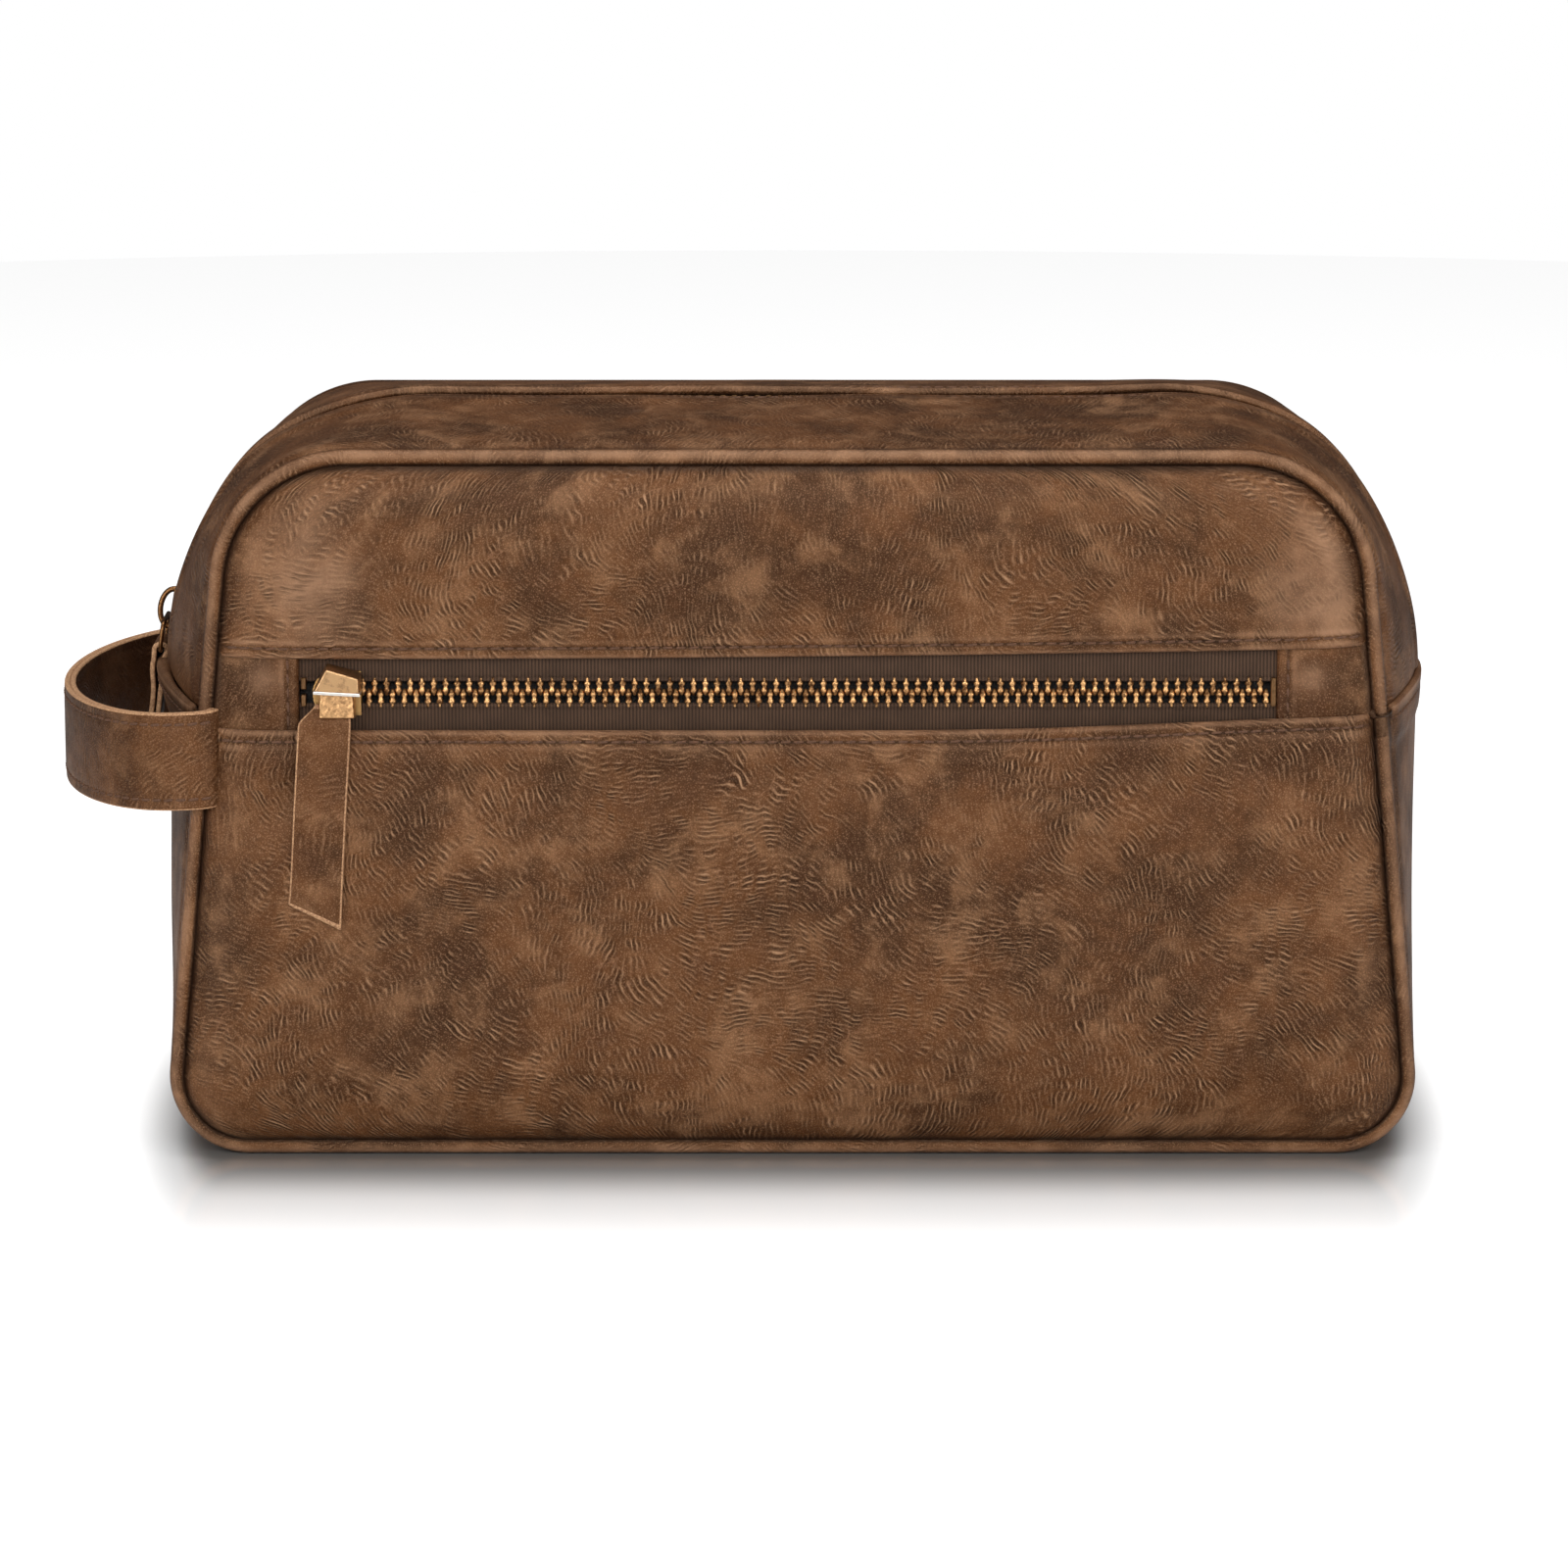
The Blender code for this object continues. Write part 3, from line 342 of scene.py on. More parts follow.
def hem_curve(steps=8):
    """Distance from the fold into the piece, and depth below its outer surface, round a folded hem."""
    turn = np.linspace(0.0, math.pi, steps + 1)[1:]
    along = np.concatenate([FOLD_RADIUS * (1.0 - np.sin(turn)), [FOLD_RADIUS + 0.5 * FOLD_BACK, FOLD_RADIUS + FOLD_BACK]])
    depth = np.concatenate([FOLD_RADIUS * (1.0 - np.cos(turn)), [2.0 * FOLD_RADIUS, 2.0 * FOLD_RADIUS]])
    return along, depth


def hem_relief(along, run):
    """How far a doubled hem stands proud, with a furrow along its stitches."""
    proud = 0.55 * MM * ease(1.0 - (along - FOLD_BACK) / (3.0 * MM))
    puckers = 0.75 + 0.25 * np.cos(2.0 * math.pi * run / STITCH_PITCH)
    furrow = 0.42 * MM * bump_at(along - STITCH_INSET, 0.45 * MM) * puckers
    return proud - furrow


def hem_tone(along):
    # Lighter on the fold's crest and beyond the stitches: wear and painted highlight. Darker along the stitch furrow:
    # painted shade.
    wear_and_highlight = 0.9 * bump_at(along - 0.2 * MM, 0.7 * MM) + 0.35 * bump_at(along - STITCH_INSET - 1.2 * MM, 0.7 * MM)
    return wear_and_highlight - 1.0 * bump_at(along - STITCH_INSET, 0.4 * MM)


def inset_from_seam(x, z):
    """Distance inside the seam outline, and the distance along it of the nearest place."""
    flat_x, flat_z = np.abs(x).ravel(), z.ravel()
    best = np.full(flat_x.shape, 1.0)
    where = np.zeros(flat_x.shape, int)
    stride = 4
    for k in range(0, len(RUN), stride):
        far = np.hypot(flat_x - RUN_X[k], flat_z - RUN_Z[k])
        closer = far < best
        best[closer], where[closer] = far[closer], k
    inset = (RUN_X[where] - flat_x) * np.cos(RUN_ANGLE[where]) + (RUN_Z[where] - flat_z) * np.sin(RUN_ANGLE[where])
    run = RUN[where] * np.where(x.ravel() < 0.0, -1.0, 1.0)
    return np.maximum(inset, 0.0).reshape(x.shape), run.reshape(x.shape)


def crown(inset):
    """A padded panel's rise above its seam: steep beside the seam and flat in the middle."""
    t = np.clip(inset / CROWN_REACH, 0.0, 1.0)
    return PANEL_CROWN * (1.0 - (1.0 - t) ** 2.3) ** 0.72


# ---- padding by cloth simulation ----

CLOTH_STEP = 4.0 * MM
CLOTH_FRAMES = 20
CLOTH_PRESSURE = 4.0
CLOTH_CAP = 2.2 * MM


def padded(name, pinned_band):
    """Blows up a sheet that is held along the seam, and along a band of heights, and returns its rise at any x, z."""
    xs = np.arange(-132.0 * MM, 132.1 * MM, CLOTH_STEP)
    zs = np.arange(0.0, 150.1 * MM, CLOTH_STEP)
    grid_x, grid_z = np.meshgrid(xs, zs)
    rise = np.zeros_like(grid_x)
    inset, _ = inset_from_seam(grid_x, grid_z)
    band = (grid_z > pinned_band[0]) & (grid_z < pinned_band[1])
    rise = inflate(name, grid_x, grid_z, (inset < 0.5 * CLOTH_STEP) | band)
    rise = np.clip(rise, -CLOTH_CAP, CLOTH_CAP)

    def rise_at(x, z):
        column = np.clip((x - xs[0]) / CLOTH_STEP, 0.0, len(xs) - 1.001)
        row = np.clip((z - zs[0]) / CLOTH_STEP, 0.0, len(zs) - 1.001)
        i, j = row.astype(int), column.astype(int)
        u, v = ease(row - i), ease(column - j)
        low = rise[i, j] * (1.0 - v) + rise[i, j + 1] * v
        high = rise[i + 1, j] * (1.0 - v) + rise[i + 1, j + 1] * v
        return low * (1.0 - u) + high * u

    return rise_at


def inflate(name, grid_x, grid_z, held):
    """Runs Cloth on a flat sheet facing -Y and returns how far each point moved towards -Y."""
    points = np.stack([grid_x, np.zeros_like(grid_x), grid_z], -1)
    mesh = bpy.data.meshes.new(name)
    mesh.from_pydata([tuple(v) for v in points.reshape(-1, 3)], [], [tuple(f) for f in grid_faces(*grid_x.shape)])
    item = bpy.data.objects.new(name, mesh)
    bpy.context.scene.collection.objects.link(item)
    pins = item.vertex_groups.new(name="pins")
    pins.add([int(k) for k in np.flatnonzero(held.ravel())], 1.0, "REPLACE")
    cloth = item.modifiers.new("cloth", "CLOTH")
    settings = cloth.settings
    settings.vertex_group_mass = "pins"
    settings.use_pressure = True
    settings.uniform_pressure_force = CLOTH_PRESSURE
    settings.mass = 0.25
    settings.quality = 6
    settings.tension_stiffness = settings.compression_stiffness = 20.0
    settings.shear_stiffness = 10.0
    settings.bending_stiffness = 1.5
    settings.shrink_min = -0.006
    settings.effector_weights.gravity = 0.0
    cloth.point_cache.frame_start = 1
    cloth.point_cache.frame_end = CLOTH_FRAMES
    for step in range(1, CLOTH_FRAMES + 1):
        bpy.context.scene.frame_set(step)
    settled = item.evaluated_get(bpy.context.evaluated_depsgraph_get()).to_mesh()
    moved = np.array([tuple(v.co) for v in settled.vertices])
    bpy.data.objects.remove(item)
    bpy.context.scene.frame_set(1)
    rise = -moved[:, 1].reshape(grid_x.shape)
    return rise if rise.sum() > 0.0 else -rise


# ---- materials ----


CREASE_CELL = 3.3  # length of a crease, mm
CREASE_SPACING = 1.12  # from one crease to the next, mm


class Shader:
    """A short way to build a node tree."""

    def __init__(self, name):
        self.material = bpy.data.materials.new(name)
        self.material.use_nodes = True
        self.tree = self.material.node_tree
        self.principled = self.tree.nodes["Principled BSDF"]

    def node(self, kind, **settings):
        made = self.tree.nodes.new(kind)
        for key, value in settings.items():
            setattr(made, key, value)
        return made

    def link(self, value, socket):
        if isinstance(value, bpy.types.NodeSocket):
            self.tree.links.new(value, socket)
        elif value is not None:
            socket.default_value = value

    def math(self, operation, a, b=None, c=None, clamp=False):
        made = self.node("ShaderNodeMath", operation=operation, use_clamp=clamp)
        for socket, value in zip(made.inputs, (a, b, c)):
            self.link(value, socket)
        return made.outputs[0]

    def span(self, value, low, high, to_low=0.0, to_high=1.0):
        """Maps low..high onto to_low..to_high, smoothly and clamped."""
        made = self.node("ShaderNodeMapRange", interpolation_type="SMOOTHSTEP")
        for socket, number in zip(made.inputs, (value, low, high, to_low, to_high)):
            self.link(number, socket)
        return made.outputs[0]

    def mix(self, share, a, b, blend="MIX"):
        made = self.node("ShaderNodeMix", data_type="RGBA", blend_type=blend)
        self.link(share, made.inputs[0])
        self.link(rgba(a), made.inputs[6])
        self.link(rgba(b), made.inputs[7])
        return made.outputs[2]

    def sheet_place(self, seed=0.0):
        """Millimetres along the sheet, shifted by seed so that no two pieces share a pattern."""
        uv = self.node("ShaderNodeUVMap", uv_map="sheet").outputs[0]
        return self.placed(uv, 1000.0, (37.0 * seed, 91.0 * seed, 13.0 * seed))

    def object_place(self):
        place = self.node("ShaderNodeTexCoord").outputs["Object"]
        return self.placed(place, 1000.0, (0.0, 0.0, 0.0))

    def placed(self, place, scale, shift, turn=0.0, stretch=(1.0, 1.0, 1.0)):
        made = self.node("ShaderNodeMapping")
        self.link(place, made.inputs["Vector"])
        made.inputs["Location"].default_value = shift
        made.inputs["Rotation"].default_value = (0.0, 0.0, turn)
        made.inputs["Scale"].default_value = [scale * s for s in stretch]
        return made.outputs[0]

    def noise(self, place, size, detail=2.0, roughness=0.5, distortion=0.0):
        made = self.node("ShaderNodeTexNoise")
        self.link(place, made.inputs["Vector"])
        made.inputs["Scale"].default_value = 1.0 / size
        made.inputs["Detail"].default_value = detail
        made.inputs["Roughness"].default_value = roughness
        made.inputs["Distortion"].default_value = distortion
        return made.outputs[0]

    def noise_vector(self, place, size, amount):
        made = self.node("ShaderNodeTexNoise")
        self.link(place, made.inputs["Vector"])
        made.inputs["Scale"].default_value = 1.0 / size
        made.inputs["Detail"].default_value = 1.0
        lifted = self.node("ShaderNodeVectorMath", operation="SUBTRACT")
        self.link(made.outputs[1], lifted.inputs[0])
        lifted.inputs[1].default_value = (0.5, 0.5, 0.5)
        grown = self.node("ShaderNodeVectorMath", operation="SCALE")
        self.link(lifted.outputs[0], grown.inputs[0])
        grown.inputs["Scale"].default_value = amount
        total = self.node("ShaderNodeVectorMath", operation="ADD")
        self.link(place, total.inputs[0])
        self.link(grown.outputs[0], total.inputs[1])
        return total.outputs[0]

    def cells(self, place, size, feature="DISTANCE_TO_EDGE"):
        made = self.node("ShaderNodeTexVoronoi", feature=feature)
        self.link(place, made.inputs["Vector"])
        made.inputs["Scale"].default_value = 1.0 / size
        return made.outputs[0]

    def ridges(self, value, width):
        """Thin lines, 1 along them, where a noise crosses its middle."""
        off = self.math("ABSOLUTE", self.math("SUBTRACT", value, 0.5))
        return self.span(off, 0.0, width, 1.0, 0.0)

    def creases(self, place, turn):
        """Fans of short parallel creases, strong in patches: how much ridge, and how much valley."""
        bent = self.noise_vector(self.noise_vector(place, 24.0, 10.0), 2.6, 1.3)
        drift = self.noise(place, 34.0, 2.0, 0.5)
        made = self.node("ShaderNodeTexGabor", gabor_type="2D")
        self.link(bent, made.inputs["Vector"])
        made.inputs["Scale"].default_value = 1.0 / CREASE_CELL
        made.inputs["Frequency"].default_value = CREASE_CELL / CREASE_SPACING
        made.inputs["Anisotropy"].default_value = 0.88
        self.link(self.span(drift, 0.25, 0.75, turn - 1.1, turn + 1.1), made.inputs["Orientation"])
        field = self.noise(self.noise_vector(place, 18.0, 12.0), 22.0, 4.0, 0.62)
        patches = self.span(field, 0.36, 0.58, 0.22, 1.0)
        share = self.math("MULTIPLY", patches, self.span(self.noise(place, 3.0, 2.0), 0.32, 0.56, 0.5, 1.0))
        ridge = self.math("MULTIPLY", self.span(made.outputs["Value"], 0.52, 0.82), share)
        valley = self.math("MULTIPLY", self.span(made.outputs["Value"], 0.50, 0.18), share)
        return ridge, valley

    def bump(self, height, distance, before=None, strength=1.0):
        made = self.node("ShaderNodeBump")
        made.inputs["Strength"].default_value = strength
        made.inputs["Distance"].default_value = distance
        self.link(height, made.inputs["Height"])
        if before:
            self.link(before, made.inputs["Normal"])
        return made.outputs[0]

    def finish(self, **inputs):
        for key, value in inputs.items():
            self.link(rgba(value), self.principled.inputs[key.replace("_", " ").title().replace("Ior", "IOR")])
        return self.material


def rgba(value):
    return (*value, 1.0) if isinstance(value, tuple) and len(value) == 3 else value


def srgb(red, green, blue):
    """A colour picked on a 0-255 scale, as linear light."""
    return tuple(((c / 255.0 + 0.055) / 1.055) ** 2.4 if c > 10 else c / 3294.6 for c in (red, green, blue))


def leather(name, seed, depth=1.0, creases=1.0, turn=0.7):
    """Distressed brown leather: cloudy colour, fan-like creases (ridges lighter from wear and painted highlight,
    valleys in painted shade), fine pebbled grain.
    """
    s = Shader(name)
    place = s.sheet_place(seed)
    clouds = s.noise(s.noise_vector(place, 40.0, 22.0), 21.0, 5.0, 0.58)
    patches = s.noise(s.noise_vector(place, 10.0, 6.0), 10.0, 4.0, 0.62)
    ridge, valley = s.creases(place, turn)
    cracks = s.ridges(s.noise(s.noise_vector(place, 14.0, 10.0), 15.0, 3.0, 0.7), 0.010)
    cracks = s.math("MULTIPLY", cracks, s.span(s.noise(place, 22.0, 1.0), 0.48, 0.64))
    grain = s.cells(s.noise_vector(place, 1.2, 0.6), 0.55)
    pores = s.noise(place, 0.30, 2.0, 0.6)

    colour = s.mix(s.span(clouds, 0.36, 0.62), srgb(49, 25, 8), srgb(86, 52, 27))
    colour = s.mix(s.math("MULTIPLY", s.span(patches, 0.46, 0.74), 0.62), colour, srgb(132, 95, 66))
    colour = s.mix(s.math("MULTIPLY", s.span(patches, 0.48, 0.28), 0.45), colour, srgb(58, 30, 15))
    # Crease ridges lighter, from wear and painted highlight; crease valleys darker, painted shade.
    colour = s.mix(s.math("MULTIPLY", ridge, 0.74 * creases), colour, srgb(172, 133, 101))
    colour = s.mix(s.math("MULTIPLY", valley, 0.74 * creases), colour, srgb(30, 14, 5))
    colour = s.mix(s.math("MULTIPLY", cracks, 0.30), colour, srgb(146, 106, 78))
    speckle = s.math("MULTIPLY", s.span(grain, 0.06, 0.26), s.span(pores, 0.40, 0.62))
    colour = s.mix(s.math("MULTIPLY", speckle, 0.34), colour, srgb(156, 118, 88))
    colour = s.mix(s.math("MULTIPLY", s.span(grain, 0.09, 0.0), 0.30), colour, srgb(40, 21, 9))
    # The tone attribute: above 0 mixes in a lighter colour for wear and painted highlight, below 0 a dark colour for
    # painted shade.
    tone = s.node("ShaderNodeAttribute", attribute_name="tone").outputs["Fac"]
    wear_and_highlight = s.math("MULTIPLY", s.span(tone, 0.0, 1.0), s.span(patches, 0.30, 0.62, 0.35, 0.85))
    colour = s.mix(wear_and_highlight, colour, srgb(148, 112, 86))
    colour = s.mix(s.math("MULTIPLY", s.span(tone, 0.0, -1.0), 0.85), colour, srgb(30, 17, 11))
    if depth != 1.0:
        colour = s.mix(1.0 - depth, colour, srgb(40, 23, 15))

    height = s.math("MULTIPLY", s.math("SUBTRACT", ridge, valley), 1.2 * creases)
    height = s.math("ADD", height, s.math("MULTIPLY", s.span(grain, 0.0, 0.22), 0.12))
    height = s.math("ADD", height, s.math("MULTIPLY", pores, 0.12))
    soft = s.bump(s.noise(place, 13.0, 3.0, 0.5), 1.2 * MM)
    normal = s.bump(height, 0.24 * MM, soft)
    rough = s.span(clouds, 0.3, 0.7, 0.50, 0.40)
    rough = s.math("SUBTRACT", rough, s.math("MULTIPLY", wear_and_highlight, 0.06))
    return s.finish(
        base_color=colour, roughness=rough, normal=normal, specular_ior_level=0.24, specular_tint=(1.0, 0.72, 0.50)
    )


def raw_edge(name):
    """A strap's cut edge: pale, matt fibre."""
    s = Shader(name)
    place = s.object_place()
    fibre = s.noise(place, 0.4, 3.0, 0.7)
    colour = s.mix(s.span(fibre, 0.35, 0.65), srgb(128, 88, 58), srgb(186, 144, 104))
    return s.finish(base_color=colour, roughness=0.7, normal=s.bump(fibre, 0.06 * MM))


def thread(name, colour):
    s = Shader(name)
    twist = s.noise(s.object_place(), 0.35, 2.0, 0.6)
    shade = s.mix(s.span(twist, 0.35, 0.65), tuple(0.55 * c for c in colour), colour)
    return s.finish(base_color=shade, roughness=0.75, normal=s.bump(twist, 0.08 * MM))


def woven_tape(name):
    """Zip tape: ribs across the tape and a fine herringbone between them."""
    s = Shader(name)
    place = s.sheet_place()
    axes = s.node("ShaderNodeSeparateXYZ")
    s.link(place, axes.inputs[0])
    ribs = s.math("SINE", s.math("MULTIPLY", axes.outputs[0], 2.0 * math.pi / 0.72))
    weft = s.math("SINE", s.math("MULTIPLY", axes.outputs[1], 2.0 * math.pi / 0.45))
    fuzz = s.noise(place, 0.3, 3.0, 0.7)
    patch = s.noise(place, 7.0, 2.0, 0.5)
    height = s.math("ADD", s.math("MULTIPLY", ribs, 0.5), s.math("MULTIPLY", s.math("MULTIPLY", weft, ribs), 0.3))
    height = s.math("ADD", height, s.math("MULTIPLY", fuzz, 0.8))
    colour = s.mix(s.span(height, -0.6, 1.2), srgb(34, 24, 17), srgb(84, 62, 47))
    colour = s.mix(s.span(patch, 0.3, 0.7, 0.0, 0.35), colour, srgb(42, 30, 22))
    return s.finish(base_color=colour, roughness=0.85, normal=s.bump(height, 0.10 * MM), specular_ior_level=0.2)


def brass(name, light, dark, wear=1.0, hammered=0.0):
    """Antique brass: dark in its pits and bright where it rubs."""
    s = Shader(name)
    place = s.object_place()
    cloud = s.noise(place, 1.6, 4.0, 0.65)
    fine = s.noise(place, 0.22, 3.0, 0.6)
    pointed = s.node("ShaderNodeNewGeometry").outputs["Pointiness"]
    bright = s.math("ADD", s.span(cloud, 0.35, 0.62), s.math("MULTIPLY", s.span(pointed, 0.50, 0.58), wear), clamp=True)
    colour = s.mix(bright, dark, light)
    height = s.math("ADD", s.math("MULTIPLY", fine, 0.3), s.math("MULTIPLY", cloud, 0.4))
    if hammered:
        dents = s.cells(s.noise_vector(place, 1.2, 0.5), 1.0, "F1")
        height = s.math("ADD", height, s.math("MULTIPLY", dents, hammered))
    rough = s.span(bright, 0.0, 1.0, 0.50, 0.30)
    return s.finish(base_color=colour, metallic=1.0, roughness=rough, normal=s.bump(height, 0.16 * MM))


def lining_cloth(name, colour):
    s = Shader(name)
    place = s.object_place()
    axes = s.node("ShaderNodeSeparateXYZ")
    s.link(place, axes.inputs[0])
    total = s.math("ADD", axes.outputs[0], s.math("ADD", axes.outputs[1], axes.outputs[2]))
    other = s.math("SUBTRACT", axes.outputs[2], s.math("ADD", axes.outputs[0], axes.outputs[1]))
    twill = s.math("MULTIPLY", s.math("SINE", s.math("MULTIPLY", total, 9.0)), s.math("SINE", s.math("MULTIPLY", other, 9.0)))
    cloud = s.noise(place, 6.0, 3.0, 0.6)
    shade = s.mix(s.span(s.math("ADD", twill, cloud), -0.5, 1.6), tuple(0.5 * c for c in colour), tuple(1.5 * c for c in colour))
    return s.finish(base_color=shade, roughness=0.7, normal=s.bump(twill, 0.05 * MM), sheen_weight=0.2)


def foam_grey(name):
    s = Shader(name)
    place = s.object_place()
    pores = s.cells(place, 0.8, "F1")
    shade = s.mix(s.span(pores, 0.1, 0.7), srgb(70, 68, 66), srgb(128, 126, 123))
    return s.finish(base_color=shade, roughness=0.95, normal=s.bump(pores, 0.2 * MM))


LEATHERS = {}


def leather_for(part, seed, **look):
    LEATHERS[part] = leather("leather_" + part, seed, **look)
    return LEATHERS[part]


EDGE = raw_edge("leather_cut_edge")
THREAD = thread("thread", srgb(94, 60, 36))
TAPE = woven_tape("zip_tape")
TOOTH_BRASS = brass("tooth_brass", srgb(208, 160, 108), srgb(82, 52, 30), 1.0)
CAP_BRASS = brass("slider_brass", srgb(200, 160, 116), srgb(112, 78, 50), 0.8)
HEAD_BRASS = brass("hammered_brass", srgb(198, 154, 108), srgb(96, 66, 42), 0.8, 1.2)
STEEL = brass("worn_nickel", srgb(226, 222, 216), srgb(120, 112, 104), 1.0)
# Brass painted dark for the zip stops, as if in shade.
STOP_BRASS = brass("stop_brass_in_painted_shade", srgb(124, 92, 62), srgb(52, 34, 22), 0.4)
# Darker than the cap's brass: painted shade for the plates under the slider cap.
PLATE_BRASS = brass("plate_brass", srgb(176, 138, 88), srgb(52, 36, 22), 1.4)
# The main slider's brass, painted darker as if in shade.
SHADED_BRASS = brass("brass_in_painted_shade", srgb(122, 86, 54), srgb(52, 34, 22), 1.0)
BLACK_CLOTH = lining_cloth("black_lining", srgb(38, 36, 35))
FOAM = foam_grey("padding_foam")
BOARD = foam_grey("base_board_fibre")


# ---- stitches ----


def bead(along, thickness, sides, rings):
    """A stitch lying along x: a rounded rod with closed ends."""
    turn = np.linspace(0.0, math.pi, rings + 2)[1:-1]
    x = -0.5 * along * np.sign(np.cos(turn)) * np.abs(np.cos(turn)) ** 0.7
    radius = thickness * np.sin(turn) ** 0.5
    around = 2.0 * math.pi * np.arange(sides) / sides
    ring = np.stack([0.0 * around, np.cos(around), np.sin(around)], -1)
    points = ring[None, :, :] * radius[:, None, None]
    points[:, :, 0] = x[:, None]
    vertices = np.concatenate([points.reshape(-1, 3), [[-0.5 * along, 0.0, 0.0], [0.5 * along, 0.0, 0.0]]])
    faces = []
    for i in range(rings - 1):
        for k in range(sides):
            near, far = i * sides + k, i * sides + (k + 1) % sides
            faces.append((near, near + sides, far + sides, far))
    tail, head = len(vertices) - 2, len(vertices) - 1
    faces += [(tail, k, (k + 1) % sides) for k in range(sides)]
    last = (rings - 1) * sides
    faces += [(last + k, head, last + (k + 1) % sides) for k in range(sides)]
    return vertices, faces


def copies(name, shape, frames, materials, **ways):
    """One mesh of many copies of shape, each placed by (origin, x axis, y axis, z axis)."""
    vertices, faces = shape
    all_vertices, all_faces = [], []
    for number, (origin, x_axis, y_axis, z_axis) in enumerate(frames):
        turn = np.stack([x_axis, y_axis, z_axis])
        all_vertices.append(vertices @ turn + origin)
        all_faces += [tuple(number * len(vertices) + k for k in face) for face in faces]
    return mesh_piece(name, np.concatenate(all_vertices), all_faces, materials, **ways)


def unit(v):
    return v / np.linalg.norm(v, axis=-1, keepdims=True)


def frames_along(points, outward, pitch):
    """Evenly spaced frames on a path: x along it, z as near as can be to outward."""
    run = lengths(points)
    count = max(int(run[-1] / pitch), 1)
    middles = (np.arange(count) + 0.5) * run[-1] / count
    def at(distance):
        return np.stack([np.interp(distance, run, points[:, k]) for k in range(3)], -1)
    x_axes = unit(at(middles + 0.3 * pitch) - at(middles - 0.3 * pitch))
    ups = np.stack([np.interp(middles, run, outward[:, k]) for k in range(3)], -1)
    y_axes = unit(np.cross(ups, x_axes))
    z_axes = np.cross(x_axes, y_axes)
    return list(zip(at(middles), x_axes, y_axes, z_axes))


STITCH = bead(STITCH_LENGTH, THREAD_RADIUS, 7, 6)


def stitches(name, points, outward, slot, body="bag", **ways):
    """A line of stitches, each a little slanted and half sunk in the leather."""
    frames = []
    for number, (origin, x, y, z) in enumerate(frames_along(points, outward, STITCH_PITCH)):
        slant = 0.07 + 0.05 * math.sin(2.4 * number)
        frames.append((origin, x + slant * y, y, z))
    return copies(name, STITCH, frames, [THREAD], body=body, slot=slot, **ways)


# ---- front and back panels ----


def upper_hem(x):
    """Height of the upper hem's fold over the pocket zip: it rises a little to the right."""
    return WINDOW_HIGH + GAP + (1.2 * (x / (120.0 * MM)) + 0.7 * (x / (120.0 * MM)) ** 2) * MM


def lower_hem(x):
    return WINDOW_LOW - GAP + 2.9 * MM * ease((x - 10.0 * MM) / (115.0 * MM)) ** 1.5


def seam_x(z):
    """Half width of the seam outline at a height, on its upper and lower corners too."""
    order = np.argsort(RUN_Z, kind="stable")
    return np.interp(z, RUN_Z[order], RUN_X[order])


def panel_heights(low, high, step):
    """Heights that crowd together where the outline's corners turn level."""
    stops = [low]
    if low < FOOT_Z:
        angles = np.linspace(0.5 * math.pi, 0.0, 16)[1:]
        stops += list(FOOT_Z - FOOT_RADIUS * np.sin(angles))
    straight_low = max(low, FOOT_Z)
    straight_high = min(high, SHOULDER_Z)
    count = max(int((straight_high - straight_low) / step), 1)
    stops += list(np.linspace(straight_low, straight_high, count + 1)[1:])
    if high > SHOULDER_Z:
        angles = np.linspace(0.0, 0.5 * math.pi, 26)[1:]
        stops += list(SHOULDER_Z + SHOULDER_RADIUS * np.sin(angles))
    return np.array(stops)


def panel_face(x, z, rise_at, side, seed):
    """Outer surface of a panel: its crown, its padding, puckers along the seam and slow waves."""
    inset, run = inset_from_seam(x, z)
    flat = np.stack([x, 0.0 * x, z], -1)
    free = ease(inset / (10.0 * MM))
    puckers = 0.22 * MM * waves(np.stack([run, 0.0 * run, 0.0 * run + inset * 0.2], -1), 6.0 * MM, seed)
    puckers = puckers * ease(inset / (2.0 * MM)) * bump_at(inset - 4.0 * MM, 6.0 * MM)
    slow = 0.35 * MM * waves(flat, 42.0 * MM, seed + 1) * free
    y = SEAM_DEPTH + crown(inset) + rise_at(x, z) + puckers + slow
    return np.stack([x, side * y, z], -1), inset, run


def turned_edge(points, run, side):
    """Rows of leather that turn in from the seam, beside the groove."""
    rings = []
    for along in (0.35, 1.0):
        rings.append(on_allowance(run, along * SEAM_ALLOWANCE, side, -0.5 * GAP))
    return rings


def border_numbers(rows, columns, sides):
    """Vertex numbers along the grid's sides, in order: 'left', 'top', 'right' or 'bottom' (rows count upwards)."""
    grid = np.arange(rows * columns).reshape(rows, columns)
    paths = {"left": grid[:, 0], "top": grid[-1, :], "right": grid[::-1, -1], "bottom": grid[0, ::-1]}
    path = list(paths[sides[0]])
    for side in sides[1:]:
        path += list(paths[side][1:])
    return np.array(path)


